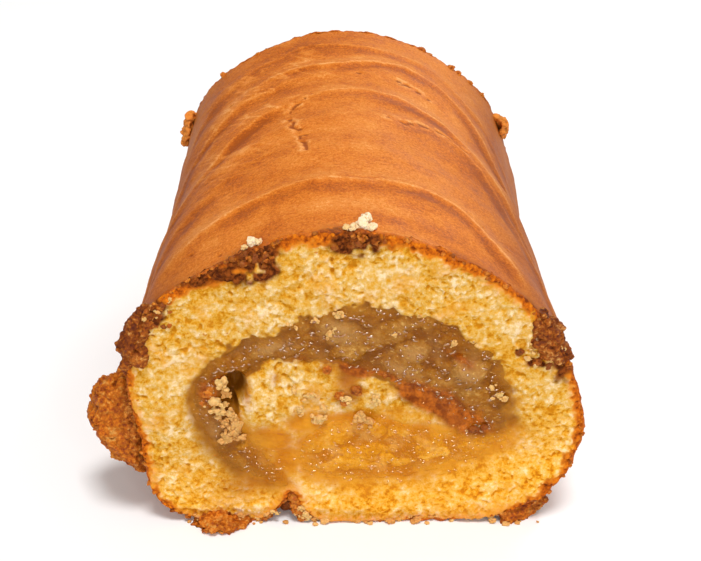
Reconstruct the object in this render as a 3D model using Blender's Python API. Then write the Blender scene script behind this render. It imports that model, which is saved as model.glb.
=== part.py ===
"""Swiss roll cake: one sheet of sponge rolled around an apple filling, both ends cut square.

The roll lies along Y with its flat seam side on Z = 0; the origin is the middle of that base.
The front cut faces -Y, and from there the sheet rolls inwards clockwise.
"""
import math

import bmesh
import bpy
import numpy as np
from mathutils import Vector
from mathutils.geometry import delaunay_2d_cdt, interpolate_bezier

MM = 0.001

# ---- driving dimensions (millimetres) ---------------------------------------------------------
ROLL_WIDTH = 110.0
ROLL_HEIGHT = 84.0
ROLL_LENGTH = 134.0
FIT_GAP = 0.3            # clearance between pieces that touch
SKIN_STEP = 4.0          # spacing of points round the skin
CRUMB_STEP = 4.0         # spacing of points along the spiral inside
STATIONS = 34            # rings along the roll
WAIST_DEPTH = 4.8        # how far the right flank draws in
WAIST_AT = 0.69          # where along the roll it does so
SHOULDER = 1.6           # how much rounder the left shoulder is behind the front cut
FOLD_BEND = 13.0         # how far the folds sweep forward down the flanks

# The section, in shares of half the width and of the height, going clockwise from the
# free end of the sheet under the left side, over the top and back along the base.
SKIN = [(-0.40, 0.012), (-0.53, 0.0), (-0.70, 0.020), (-0.845, 0.090), (-0.936, 0.196),
        (-0.982, 0.357), (-0.996, 0.512), (-0.960, 0.661), (-0.864, 0.780), (-0.655, 0.863),
        (-0.436, 0.944), (-0.218, 0.992), (-0.018, 1.0), (0.182, 0.980), (0.400, 0.929),
        (0.609, 0.845), (0.809, 0.738), (0.936, 0.577), (1.0, 0.393), (0.978, 0.232),
        (0.873, 0.111), (0.745, 0.048), (0.545, 0.014), (0.345, 0.0), (0.036, 0.0),
        (-0.110, 0.0), (-0.205, 0.022)]

# The same skin carried on inside as the sheet rolls over itself, out to the tip of the tongue.
WRAP = [(-0.272, 0.085), (-0.300, 0.155), (-0.370, 0.240), (-0.470, 0.333), (-0.520, 0.435),
        (-0.487, 0.519), (-0.355, 0.574), (-0.164, 0.567), (0.067, 0.521), (0.287, 0.463),
        (0.436, 0.405), (0.498, 0.362), (0.440, 0.330)]

# Back along the soaked side of the sheet: under the tongue, round the turn, along the bottom
# layer, up the right side, over and down the left to the free end.
LINING = [(0.269, 0.352), (0.073, 0.374), (-0.091, 0.363), (-0.209, 0.315), (-0.247, 0.256),
          (-0.209, 0.202), (-0.109, 0.170), (0.116, 0.175), (0.387, 0.208), (0.587, 0.261),
          (0.687, 0.343), (0.678, 0.452), (0.615, 0.581), (0.491, 0.676), (0.298, 0.739),
          (0.085, 0.758), (-0.127, 0.740), (-0.342, 0.679), (-0.527, 0.619), (-0.676, 0.539),
          (-0.727, 0.458), (-0.687, 0.357), (-0.598, 0.249), (-0.464, 0.167), (-0.356, 0.140)]

FREE_END = [(-0.314, 0.116), (-0.306, 0.092), (-0.338, 0.062)]

# Folds pushed up in the skin: place along the roll, height, width, middle on the skin (mm).
FOLDS = [(25.0, 0.8, 4.5, 2.0), (47.0, 0.5, 7.0, -4.0), (67.0, 0.8, 5.0, 12.0),
         (81.0, 0.7, 5.0, -4.0), (103.0, 0.9, 5.5, 4.0), (119.0, 0.6, 6.0, -6.0)]


def to_mm(shares):
    return [(x * ROLL_WIDTH / 2, z * ROLL_HEIGHT) for x, z in shares]


def curve_through(points, steps):
    """A closed smooth curve through the points; steps gives the spacing wanted on each span."""
    count = len(points)
    curve = []
    marks = []
    for i in range(count):
        before, start, end, after = (Vector((*points[(i + k) % count], 0)) for k in (-1, 0, 1, 2))
        span = (end - start).length
        leave = (end - before).normalized() * span / 3
        arrive = (after - start).normalized() * span / 3
        pieces = max(1, round(span / steps[i]))
        marks.append(len(curve))
        run = interpolate_bezier(start, start + leave, end - arrive, end, pieces + 1)
        curve += [(p.x, p.y) for p in run[:-1]]
    return np.array(curve), marks


def outward(ring):
    """Unit normals of a ring that runs clockwise, pointing out of it."""
    along = np.roll(ring, -1, axis=0) - np.roll(ring, 1, axis=0)
    along /= np.linalg.norm(along, axis=1)[:, None]
    return np.stack([-along[:, 1], along[:, 0]], axis=1)


def fold_relief(round_mm, along_mm):
    """Height of the folds at a place round the skin (0 on the crest) and along the roll."""
    total = 0.0
    for place, height, width, middle in FOLDS:
        bent = place - FOLD_BEND * ((round_mm - middle) / 48.0) ** 2
        total += height * math.exp(-((along_mm - bent) / width) ** 2)
    return total - 0.35


def skin_push(x, z, round_mm, along_mm):
    """How far the skin stands out of the plain section there."""
    share = along_mm / ROLL_LENGTH
    upper = min(1.0, max(0.0, (z / ROLL_HEIGHT - 0.22) / 0.3))
    flank = upper * (x * 2 / ROLL_WIDTH) ** 2
    push = fold_relief(round_mm, along_mm) * upper
    if x > 0:
        push -= WAIST_DEPTH * flank * math.exp(-((share - WAIST_AT) / 0.34) ** 2)
    else:
        push -= 1.0 * flank * math.exp(-((share - 0.60) / 0.25) ** 2)
        push += SHOULDER * math.exp(-((round_mm + 40.0) / 15.0) ** 2) * min(1.0, along_mm / 30.0)
    return push


def skin_rings(section, normals, grow, extra):
    """Rings of the skin from the front cut to the back cut, pushed by the relief."""
    lengths = np.linalg.norm(np.diff(section, axis=0), axis=1)
    run = np.concatenate([[0.0], np.cumsum(lengths)])
    crest = run[int(np.argmax(section[:, 1]))]
    rings = []
    for k in range(STATIONS):
        along = ROLL_LENGTH * k / (STATIONS - 1)
        y = along - ROLL_LENGTH / 2
        if k == 0:
            y -= extra
        if k == STATIONS - 1:
            y += extra
        ring = []
        for (x, z), (nx, nz), s in zip(section, normals, run):
            push = skin_push(x, z, s - crest, along) + grow
            ring.append((x + nx * push, y, z + nz * push))
        rings.append(ring)
    return rings


def finish(bm, name, material, collection):
    bmesh.ops.triangulate(bm, faces=bm.faces, quad_method="FIXED")
    bmesh.ops.recalc_face_normals(bm, faces=bm.faces)
    mesh = bpy.data.meshes.new(name)
    for v in bm.verts:
        v.co *= MM
    bm.to_mesh(mesh)
    bm.free()
    for face in mesh.polygons:
        face.use_smooth = True
    mesh.set_sharp_from_angle(angle=math.radians(50))
    if material:
        mesh.materials.append(material)
    ob = bpy.data.objects.new(name, mesh)
    collection.objects.link(ob)
    return ob


def cap(bm, ring):
    """Close a flat ring of vertices with triangles that keep to its outline."""
    places = [Vector((v.co.x, v.co.z)) for v in ring]
    triangles = delaunay_2d_cdt(places, [], [list(range(len(ring)))], 1, 1e-5)[2]
    for triangle in triangles:
        bm.faces.new([ring[i] for i in triangle])


def prism(bm, ring, y0, y1):
    front = [bm.verts.new((x, y0, z)) for x, z in ring]
    back = [bm.verts.new((x, y1, z)) for x, z in ring]
    cap(bm, front)
    cap(bm, back)
    for i in range(len(ring)):
        j = (i + 1) % len(ring)
        bm.faces.new((front[j], front[i], back[i], back[j]))


def plain_material(name, colour, roughness):
    material = bpy.data.materials.new(name)
    material.use_nodes = True
    shader = material.node_tree.nodes["Principled BSDF"]
    shader.inputs["Base Color"].default_value = (*colour, 1.0)
    shader.inputs["Roughness"].default_value = roughness
    material.diffuse_color = (*colour, 1.0)
    return material


for ob in list(bpy.data.objects):
    bpy.data.objects.remove(ob, do_unlink=True)

ROLL = bpy.data.collections.new("swiss_roll_cake")
CUTTERS = bpy.data.collections.new("cutters")
bpy.context.scene.collection.children.link(ROLL)
bpy.context.scene.collection.children.link(CUTTERS)

SPONGE = plain_material("sponge", (0.83, 0.55, 0.16), 0.85)
FILLING = plain_material("apple_filling", (0.40, 0.17, 0.035), 0.25)
CRUST = plain_material("baked_crust", (0.35, 0.11, 0.02), 0.7)

# ---- the rolled sheet: one ring round the whole spiral, drawn along Y ---------------------------
outline = to_mm(SKIN + WRAP + LINING + FREE_END)
spacing = [SKIN_STEP] * (len(SKIN) - 1) + [CRUMB_STEP] * (len(outline) - len(SKIN) + 1)
section, marks = curve_through(outline, spacing)
section[:, 1] = np.maximum(section[:, 1], 0.0)
section_out = outward(section)
last_skin = marks[len(SKIN) - 1]
skin_section = section[:last_skin + 1]
skin_normals = section_out[:last_skin + 1]

bm = bmesh.new()
rings = [[bm.verts.new(p) for p in ring] for ring in skin_rings(skin_section, skin_normals, 0.0, 0.0)]
inside = section[last_skin + 1:]
half = ROLL_LENGTH / 2
inner_front = [bm.verts.new((x, -half, z)) for x, z in inside]
inner_back = [bm.verts.new((x, half, z)) for x, z in inside]
for near, far in zip(rings, rings[1:]):
    for i in range(last_skin):
        bm.faces.new((near[i], near[i + 1], far[i + 1], far[i]))
for i in range(len(inside) - 1):
    bm.faces.new((inner_front[i], inner_front[i + 1], inner_back[i + 1], inner_back[i]))
bm.faces.new([ring[last_skin] for ring in rings] + [inner_back[0], inner_front[0]])
bm.faces.new([ring[0] for ring in rings] + [inner_back[-1], inner_front[-1]])
cap(bm, rings[0] + inner_front)
cap(bm, rings[-1] + inner_back)
sponge = finish(bm, "sponge", SPONGE, ROLL)

# ---- the filling: what the sheet wraps, a fit gap clear of it, running end to end --------------
first = marks[len(SKIN) + 1]
last = marks[len(SKIN) + len(WRAP) + len(LINING) - 1]
filling_ring = section[first:last + 1] + section_out[first:last + 1] * FIT_GAP
bm = bmesh.new()
prism(bm, [tuple(p) for p in filling_ring[::-1]], -half, half)
filling = finish(bm, "filling", FILLING, ROLL)

# ---- the body that the crust pieces are trimmed by --------------------------------------------
bm = bmesh.new()
grown = skin_rings(skin_section, skin_normals, FIT_GAP * 1.2, FIT_GAP)
rings = [[bm.verts.new(p) for p in ring] for ring in grown]
for near, far in zip(rings, rings[1:]):
    for i in range(len(near)):
        j = (i + 1) % len(near)
        bm.faces.new((near[i], near[j], far[j], far[i]))
bm.faces.new(rings[0])
bm.faces.new(rings[-1])
body = finish(bm, "roll_body", None, CUTTERS)


def crust_piece(name, middle, size, seed, rough=0.10, lean=0.0):
    """A baked-on knob of crumb: a rounded lump, uneven by a few waves, trimmed to the roll."""
    around, levels = 20, 12
    bm = bmesh.new()

    def place(u, v):
        direction = np.array([math.cos(u) * math.cos(v), math.sin(u) * math.cos(v), math.sin(v)])
        wave = math.sin(3 * u + seed) * math.cos(2 * v + seed) + 0.6 * math.sin(5 * u - 2 * seed + 3 * v)
        wave += 0.5 * math.sin(4 * v + 3 * seed) * math.cos(6 * u + seed)
        reach = 1.0 + rough * wave * math.cos(v)
        x, y, z = direction * np.array(size) * reach
        return (middle[0] + x + lean * z, middle[1] + y, max(0.0, middle[2] + z))

    rings = []
    for k in range(1, levels):
        v = -math.pi / 2 + math.pi * k / levels
        rings.append([bm.verts.new(place(2 * math.pi * i / around, v)) for i in range(around)])
    low = bm.verts.new(place(0, -math.pi / 2))
    high = bm.verts.new(place(0, math.pi / 2))
    for near, far in zip(rings, rings[1:]):
        for i in range(around):
            j = (i + 1) % around
            bm.faces.new((near[i], near[j], far[j], far[i]))
    for i in range(around):
        j = (i + 1) % around
        bm.faces.new((low, rings[0][j], rings[0][i]))
        bm.faces.new((high, rings[-1][i], rings[-1][j]))
    ob = finish(bm, name, CRUST, ROLL)
    trim = ob.modifiers.new("trim", "BOOLEAN")
    trim.operation = "DIFFERENCE"
    trim.solver = "EXACT"
    trim.object = body
    return ob


crust_piece("crust_left", (-58.3, -59.0, 27.0), (8.2, 8.0, 14.4), 0.6, 0.10, 0.06)
crust_piece("crust_upper_left", (-51.3, -64.0, 56.5), (4.9, 5.5, 9.8), 2.1, 0.12, 0.38)
crust_piece("crust_right", (46.6, -65.8, 55.0), (5.0, 4.0, 9.2), 4.0, 0.12, -0.34)
crust_piece("crust_back_left", (-52.8, 64.0, 50.5), (4.0, 5.0, 7.6), 1.3, 0.12, 0.15)
crust_piece("crust_back_right", (47.4, 64.2, 49.8), (4.2, 4.8, 6.4), 3.2, 0.12, -0.2)
crust_piece("crust_foot_left", (-35.0, -67.5, 1.6), (8.0, 5.6, 4.0), 5.1, 0.12)
crust_piece("crust_foot_right", (42.8, -63.5, 2.5), (7.6, 4.6, 5.6), 0.2, 0.10)

body.hide_render = True
body.display_type = "WIRE"
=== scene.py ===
# %% [markdown]
# # A swiss roll cake
# A sheet of sponge is baked, spread with cooked apple and rolled up. The outside is the browned
# skin of the sheet; the two cut ends show the crumb, the apple and how the sheet winds.
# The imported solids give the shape. This lesson dresses them: skin, crumb, apple, crust knobs, crumbs.

# %% Load the frame
import math

import bmesh
import bpy
import numpy as np
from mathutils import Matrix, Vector
from mathutils.bvhtree import BVHTree


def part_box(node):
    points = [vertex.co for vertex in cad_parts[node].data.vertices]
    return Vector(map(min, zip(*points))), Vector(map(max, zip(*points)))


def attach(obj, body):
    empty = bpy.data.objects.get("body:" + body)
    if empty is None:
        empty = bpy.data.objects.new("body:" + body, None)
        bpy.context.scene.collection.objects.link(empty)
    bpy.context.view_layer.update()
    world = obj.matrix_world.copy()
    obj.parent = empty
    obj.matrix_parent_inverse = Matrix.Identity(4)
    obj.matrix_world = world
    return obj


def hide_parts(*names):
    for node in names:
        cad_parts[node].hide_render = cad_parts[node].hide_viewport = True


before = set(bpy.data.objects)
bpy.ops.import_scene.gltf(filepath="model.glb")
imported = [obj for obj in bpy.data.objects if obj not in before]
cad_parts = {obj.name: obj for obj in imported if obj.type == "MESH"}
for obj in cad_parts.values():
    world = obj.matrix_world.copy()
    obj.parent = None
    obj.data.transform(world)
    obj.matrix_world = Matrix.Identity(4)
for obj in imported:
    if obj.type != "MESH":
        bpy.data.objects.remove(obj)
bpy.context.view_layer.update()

MM = 0.001
low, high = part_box("sponge")
FRONT, BACK = low.y / MM, high.y / MM
WIDE, TALL = (high.x - low.x) / MM, high.z / MM
print("roll", round(WIDE, 1), "by", round(TALL, 1), "by", round(BACK - FRONT, 1), "mm")

# %% [markdown]
# ## Unevenness
# Food is never regular, so every surface here is moved by noise. These helpers work on whole arrays
# of points at once. Each takes its own seed, so the cake comes out the same every time.

# %% Noise on arrays of points
def scramble(*cells, seed=0):
    """A steady random number from 0 to 1 for each lattice cell."""
    h = np.full(np.broadcast(*cells).shape, (seed * 2654435761 + 97) & 0xFFFFFFFF, np.uint64)
    for k, cell in enumerate(cells):
        h ^= (np.asarray(cell, np.int64) & 0xFFFFFFFF).astype(np.uint64) * np.uint64((73856093, 19349663, 83492791)[k])
        h = (h ^ (h >> np.uint64(15))) * np.uint64(2246822519) & np.uint64(0xFFFFFFFF)
        h = (h ^ (h >> np.uint64(13))) * np.uint64(3266489917) & np.uint64(0xFFFFFFFF)
    return (h ^ (h >> np.uint64(16))).astype(np.float64) / 4294967295.0


def waves(points, size, seed, octaves=1):
    """Smooth noise from -1 to 1. points is (N, 2) or (N, 3), size the width of its bumps."""
    total, share, weight = 0.0, 1.0, 0.0
    for o in range(octaves):
        p = points / size * 2 ** o
        cell = np.floor(p).astype(np.int64)
        f = p - cell
        f = f * f * (3 - 2 * f)
        dims = points.shape[1]
        value = 0.0
        for corner in range(2 ** dims):
            bits = [(corner >> k) & 1 for k in range(dims)]
            side = 1.0
            for k, bit in enumerate(bits):
                side = side * (f[:, k] if bit else 1 - f[:, k])
            value = value + side * scramble(*[cell[:, k] + bits[k] for k in range(dims)], seed=seed + 31 * o)
        total = total + share * (value * 2 - 1)
        weight += share
        share *= 0.5
    return total / weight * 1.4


def dents(points, size, seed, share, small, large):
    """Round hollows, 1 in the middle and 0 outside: some cells of a lattice hold one each."""
    cell = np.floor(points / size).astype(np.int64)
    dims = points.shape[1]
    deepest = np.zeros(len(points))
    for n in range(3 ** dims):
        near = [cell[:, k] + (n // 3 ** k) % 3 - 1 for k in range(dims)]
        middle = [(near[k] + 0.15 + 0.7 * scramble(*near, seed=seed + k)) * size for k in range(dims)]
        radius = small + (large - small) * scramble(*near, seed=seed + 7) ** 2
        gap = sum((points[:, k] - middle[k]) ** 2 for k in range(dims)) / radius ** 2
        there = scramble(*near, seed=seed + 11) < share
        deepest = np.maximum(deepest, np.where(there, np.clip(1 - gap, 0, 1), 0))
    return deepest


def lumps(points, size, seed):
    """Cells with creases between them: distance to the nearest middle, to the crease, and each cell's number."""
    cell = np.floor(points / size).astype(np.int64)
    dims = points.shape[1]
    first = np.full(len(points), 1e9)
    second = np.full(len(points), 1e9)
    number = np.zeros(len(points))
    for n in range(3 ** dims):
        near = [cell[:, k] + (n // 3 ** k) % 3 - 1 for k in range(dims)]
        gap = np.sqrt(sum((points[:, k] - (near[k] + scramble(*near, seed=seed + k)) * size) ** 2 for k in range(dims)))
        closer = gap < first
        second = np.where(closer, first, np.minimum(second, gap))
        number = np.where(closer, scramble(*near, seed=seed + 5), number)
        first = np.where(closer, gap, first)
    return first, second - first, number


def ease(value, start, end):
    """0 below start, 1 above end, smooth between."""
    t = np.clip((value - start) / (end - start), 0, 1)
    return t * t * (3 - 2 * t)


def spot(x, z, at_x, at_z, wide, tall, lean=0.0):
    """A soft round patch, 1 in its middle."""
    c, s = math.cos(lean), math.sin(lean)
    u = ((x - at_x) * c + (z - at_z) * s) / wide
    v = (-(x - at_x) * s + (z - at_z) * c) / tall
    return np.exp(-(u * u + v * v))


print("noise ready, a sample:", waves(np.array([[1.3, 2.4]]), 2.0, 5).round(3))

# %% [markdown]
# ## Lines
# Outlines, folds and cracks are all lines of points. These helpers read one off a solid, space its
# points evenly, and measure how far any place is from it.

# %% Reading and measuring lines
def cut_ring(node):
    """The closed outline of a node's front cut, as (x, z) in millimetres, in order."""
    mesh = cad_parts[node].data
    co = np.empty(len(mesh.vertices) * 3)
    mesh.vertices.foreach_get("co", co)
    co = co.reshape(-1, 3) / MM
    mesh.calc_loop_triangles()
    tris = np.empty(len(mesh.loop_triangles) * 3, np.int32)
    mesh.loop_triangles.foreach_get("vertices", tris)
    tris = tris.reshape(-1, 3)
    flat = np.abs(co[:, 1] - co[:, 1].min()) < 0.02
    keys = {}
    name = [keys.setdefault((round(float(p[0]), 2), round(float(p[2]), 2)), len(keys)) for p in co]
    used = {}
    for a, b, c in tris[flat[tris].all(axis=1)]:
        for u, v in ((a, b), (b, c), (c, a)):
            edge = tuple(sorted((name[u], name[v])))
            used[edge] = used.get(edge, 0) + 1
    nexts = {}
    for (u, v), times in used.items():
        if times == 1 and u != v:
            nexts.setdefault(u, []).append(v)
            nexts.setdefault(v, []).append(u)
    places = {i: key for key, i in keys.items()}
    start = min(nexts, key=lambda i: places[i][1])
    ring, last, now = [start], None, start
    while True:
        step = [n for n in nexts[now] if n != last]
        last, now = now, step[0]
        if now == start:
            break
        ring.append(now)
    return np.array([places[i] for i in ring])


def spaced(ring, step, soften, closed=True):
    """The same line with even spacing, its facets smoothed away."""
    line = np.vstack([ring, ring[:1]]) if closed else ring
    run = np.concatenate([[0], np.cumsum(np.linalg.norm(np.diff(line, axis=0), axis=1))])
    count = int(run[-1] / step)
    at = np.linspace(0, run[-1], count + (0 if closed else 1), endpoint=not closed)
    fine = np.stack([np.interp(at, run, line[:, k]) for k in (0, 1)], axis=1)
    reach = int(3 * soften / step)
    kernel = np.exp(-0.5 * (np.arange(-reach, reach + 1) * step / soften) ** 2)
    kernel /= kernel.sum()
    mode = "wrap" if closed else "edge"
    return np.stack([np.convolve(np.pad(fine[:, k], reach, mode=mode), kernel, "valid") for k in (0, 1)], axis=1)


def gap_to(points, line, closed=True):
    """Distance from each point to a line."""
    a = line if closed else line[:-1]
    b = np.roll(line, -1, axis=0) if closed else line[1:]
    best = np.full(len(points), 1e9)
    for p, q in zip(a, b):
        d = q - p
        t = np.clip(((points - p) @ d) / max(d @ d, 1e-9), 0, 1)
        best = np.minimum(best, ((points - p - t[:, None] * d) ** 2).sum(axis=1))
    return np.sqrt(best)


def within(points, ring):
    """True for points inside a closed ring."""
    inside = np.zeros(len(points), bool)
    for (x0, z0), (x1, z1) in zip(ring, np.roll(ring, -1, axis=0)):
        if z0 != z1:
            crosses = (z0 > points[:, 1]) != (z1 > points[:, 1])
            inside ^= crosses & (points[:, 0] < (x1 - x0) * (points[:, 1] - z0) / (z1 - z0) + x0)
    return inside


apple_ring = spaced(cut_ring("filling"), 0.8, 0.9)
print("apple outline", len(apple_ring), "points")

# %% [markdown]
# ## Writing materials as sums
# A material in Blender is a net of nodes. Written out one link at a time it is hard to read, so a
# small class lets a socket stand in an expression: `1 - pit * 0.4` adds its own Math nodes.

# %% Sockets that can be added and multiplied
class Thread:
    """One output socket; sums on it add Math nodes to its material."""

    def __init__(self, recipe, socket):
        self.recipe, self.socket = recipe, socket

    def _sum(self, operation, left, right):
        return self.recipe.node("Math", {"operation": operation}, {0: left, 1: right})

    def __add__(self, other): return self._sum("ADD", self, other)
    def __radd__(self, other): return self._sum("ADD", other, self)
    def __sub__(self, other): return self._sum("SUBTRACT", self, other)
    def __rsub__(self, other): return self._sum("SUBTRACT", other, self)
    def __mul__(self, other): return self._sum("MULTIPLY", self, other)
    def __rmul__(self, other): return self._sum("MULTIPLY", other, self)
    def __pow__(self, other): return self._sum("POWER", self, other)

    def span(self, start, end, low=0.0, high=1.0):
        """Eases from low to high as this goes from start to end."""
        return self.recipe.node("MapRange", {"interpolation_type": "SMOOTHSTEP"},
                                {0: self, 1: start, 2: end, 3: low, 4: high})


class Recipe:
    """A material built from expressions."""

    def __init__(self, name, **fixed):
        self.material = bpy.data.materials.new(name)
        self.material.use_nodes = True
        self.tree = self.material.node_tree
        self.shader = self.tree.nodes["Principled BSDF"]
        for socket, value in fixed.items():
            self.shader.inputs[socket.replace("_", " ")].default_value = value
        self.place = self.node("TexCoord", out="Object")

    def node(self, kind, settings=None, sockets=None, out=0):
        made = self.tree.nodes.new("ShaderNode" + kind)
        for key, value in (settings or {}).items():
            if key == "stops":
                while len(made.color_ramp.elements) < len(value):
                    made.color_ramp.elements.new(0.5)
                for element, (place, colour) in zip(made.color_ramp.elements, value):
                    element.position, element.color = place, (*colour, 1)
            else:
                setattr(made, key, value)
        for key, value in (sockets or {}).items():
            self.feed(made.inputs[key], value)
        return Thread(self, made.outputs[out])

    def feed(self, socket, value):
        if isinstance(value, Thread):
            self.tree.links.new(value.socket, socket)
        elif hasattr(socket.default_value, "__len__") and len(value) == 3 and len(socket.default_value) == 4:
            socket.default_value = (*value, 1)
        else:
            socket.default_value = value

    def mix(self, below, above, amount):
        """One colour over another."""
        return self.node("Mix", {"data_type": "RGBA"}, {0: amount, 6: below, 7: above}, out=2)

    def tinted(self, colour, by):
        """A colour multiplied by another."""
        return self.node("VectorMath", {"operation": "MULTIPLY"}, {0: colour, 1: by})

    def grain(self, size_mm, detail=2.0, rough=0.5, stretch=None):
        """Noise from 0 to 1 with bumps of that width."""
        place = self.place
        if stretch:
            place = self.node("VectorMath", {"operation": "MULTIPLY"}, {0: place, 1: stretch})
        return self.node("TexNoise", {}, {"Vector": place, "Scale": 1.0 / (size_mm * MM),
                                         "Detail": detail, "Roughness": rough})

    def read(self, name):
        """A value stored on the mesh."""
        return self.node("Attribute", {"attribute_name": name}, out="Fac")

    def finish(self, colour, rough=None, height=None, bump_mm=0.2, strength=1.0, **others):
        self.feed(self.shader.inputs["Base Color"], colour)
        if rough is not None:
            self.feed(self.shader.inputs["Roughness"], rough)
        for name, value in others.items():
            self.feed(self.shader.inputs[name.replace("_", " ")], value)
        if height is not None:
            bump = self.node("Bump", {}, {"Strength": strength, "Distance": bump_mm * MM, "Height": height})
            self.feed(self.shader.inputs["Normal"], bump)
        return self.material


print("recipes ready")

# %% Making meshes from arrays
def make_piece(name, points_mm, faces, material, marks=None, smooth=True, uv=None):
    """A mesh object from arrays in millimetres; marks are values kept on its points."""
    mesh = bpy.data.meshes.new(name)
    faces = np.asarray(faces, np.int32)
    mesh.vertices.add(len(points_mm))
    mesh.vertices.foreach_set("co", (np.asarray(points_mm) * MM).astype(np.float32).ravel())
    mesh.loops.add(faces.size)
    mesh.loops.foreach_set("vertex_index", faces.ravel())
    mesh.polygons.add(len(faces))
    mesh.polygons.foreach_set("loop_start", np.arange(0, faces.size, faces.shape[1], dtype=np.int32))
    mesh.polygons.foreach_set("use_smooth", np.full(len(faces), smooth))
    mesh.update(calc_edges=True)
    mesh.validate()
    for key, values in (marks or {}).items():
        mesh.attributes.new(key, "FLOAT", "POINT").data.foreach_set("value", np.asarray(values, np.float32))
    if uv is not None:
        layer = mesh.uv_layers.new(name="OFBake")
        layer.data.foreach_set("uv", np.asarray(uv, np.float32)[faces.ravel()].ravel())
    mesh.materials.append(material)
    piece = bpy.data.objects.new(name, mesh)
    bpy.context.scene.collection.objects.link(piece)
    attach(piece, "root")
    print(name, len(points_mm), "points", len(faces), "faces")
    return piece


def grid_faces(rows, columns, wrap=False, flip=False):
    """Quads of a grid of points stored row by row."""
    i = np.arange(rows - 1)[:, None]
    j = np.arange(columns if wrap else columns - 1)[None, :]
    k = (j + 1) % columns
    quads = np.stack([i * columns + j, i * columns + k, (i + 1) * columns + k, (i + 1) * columns + j], axis=-1)
    quads = quads.reshape(-1, 4)
    return quads[:, ::-1] if flip else quads

# %% [markdown]
# ## The baked skin
# The skin is the top of the baked sheet: smooth, orange-brown, a little glossy. The surface is read
# off the solid by shooting rays at it from outside, so it keeps to the roll's size wherever that is.

# %% Read the shape off the solid
PITCH = 0.69
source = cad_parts["sponge"].data
wall = BVHTree.FromPolygons([v.co[:] for v in source.vertices], [p.vertices[:] for p in source.polygons])
HUB = 0.47 * TALL


def skin_hit(angle, y):
    """How far the skin is from the roll's axis in that direction, in millimetres."""
    direction = Vector((math.cos(angle), 0, math.sin(angle)))
    hub = Vector((0, y * MM, HUB * MM))
    return (wall.ray_cast(hub + direction * 0.2, -direction)[0] - hub).length / MM


dense = np.linspace(-math.pi / 2, 1.5 * math.pi, 1441)
reach = np.array([skin_hit(a, FRONT + 0.3) for a in dense])
trace = np.stack([np.cos(dense) * reach, np.sin(dense) * reach], axis=1)
run = np.concatenate([[0], np.cumsum(np.linalg.norm(np.diff(trace, axis=0), axis=1))])
COLUMNS = int(run[-1] / PITCH)
angles = np.interp(np.arange(COLUMNS) / COLUMNS * run[-1], run, dense)
close = np.array([0.25, 0.5, 0.75, 1.05, 1.4, 1.8, 2.3, 2.9])
rows_y = np.concatenate([FRONT + close, np.arange(FRONT + 3.5, BACK - 3.4, PITCH), (BACK - close)[::-1]])
radius = np.array([[skin_hit(a, min(max(y, FRONT + 0.3), BACK - 0.3)) for a in angles] for y in rows_y])
print("skin grid", radius.shape)


def soften(table, along, around):
    """Blurs the facets of the solid out of the table, wrapping round the roll."""
    for axis, width in ((0, along), (1, around)):
        reach = int(width * 3)
        kernel = np.exp(-0.5 * (np.arange(-reach, reach + 1) / width) ** 2)
        kernel /= kernel.sum()
        pad = [(0, 0), (0, 0)]
        pad[axis] = (reach, reach)
        wide = np.pad(table, pad, mode="wrap" if axis else "edge")
        table = np.apply_along_axis(lambda line: np.convolve(line, kernel, "valid"), axis, wide)
    return table


base = soften(radius, 3.0, 2.5)
notch = np.abs(np.cos(angles) * radius[0] + 0.16 * WIDE) < 0.07 * WIDE
base = np.where((notch & (np.sin(angles) < 0))[None, :], soften(radius, 3.0, 0.8), base)
crest = np.interp(math.pi / 2, angles, np.arange(COLUMNS) * PITCH)
around = -(np.arange(COLUMNS) * PITCH - crest)
S, Y = np.meshgrid(around, rows_y - FRONT)
skin_at = np.stack([S.ravel(), Y.ravel()], axis=1)
print("skin from", round(around.min()), "to", round(around.max()), "mm round the crest")

# %% [markdown]
# ### Folds
# Rolling pushed the skin into low folds across the roll. Each is a line of places, given as
# millimetres round from the crest (plus to the right) and millimetres back from the front cut. The
# skin behind a fold laps forward over the valley in front of it. The lip is painted paler, as a painted
# highlight, and the valley darker, as painted shade.

# %% Folds in the skin
FOLDS = [([(-52, 8), (-46, 14), (-38, 20), (-28, 24), (-15, 26), (0, 27), (18, 28), (26, 26.5), (33, 22),
           (40, 14), (47, 5)], 1.0),
         ([(-74, 4), (-66, 10), (-58, 18), (-50, 28), (-42, 38), (-34, 45), (-26, 50), (-18, 53)], 0.6),
         ([(8, 67), (19, 69), (26, 68.5), (32, 66.5), (38, 62), (45, 50), (50, 38), (56, 24), (64, 12), (72, 4)], 1.0),
         ([(-88, 6), (-74, 14), (-60, 30), (-50, 48), (-42, 61), (-34, 71), (-25, 78), (-14, 80.5)], 0.9),
         ([(-14, 80), (-6, 83), (4, 84.5), (16, 83), (26, 79), (36, 69), (46, 56), (58, 40), (72, 30), (86, 24)], 0.8),
         ([(-92, 34), (-78, 42), (-66, 54), (-56, 66), (-50, 78), (-42, 88), (-34, 94), (-20, 96), (-5, 95)], 0.7),
         ([(-34, 100), (-18, 104), (-4, 103), (6, 107), (15, 109), (26, 106), (36, 99), (45, 86), (54, 70), (66, 56), (80, 46), (94, 42)], 1.0),
         ([(-94, 62), (-76, 72), (-58, 92), (-44, 110), (-30, 118), (-15, 121), (0, 118), (12, 119), (30, 115), (44, 104), (54, 90), (68, 76), (84, 68)], 0.6)]
s, y = skin_at.T
wander = waves(skin_at, 22, 3, 2) * 1.0 + waves(skin_at, 6, 4) * 0.35
height = np.zeros(len(s))
tone = np.zeros(len(s))
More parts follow.
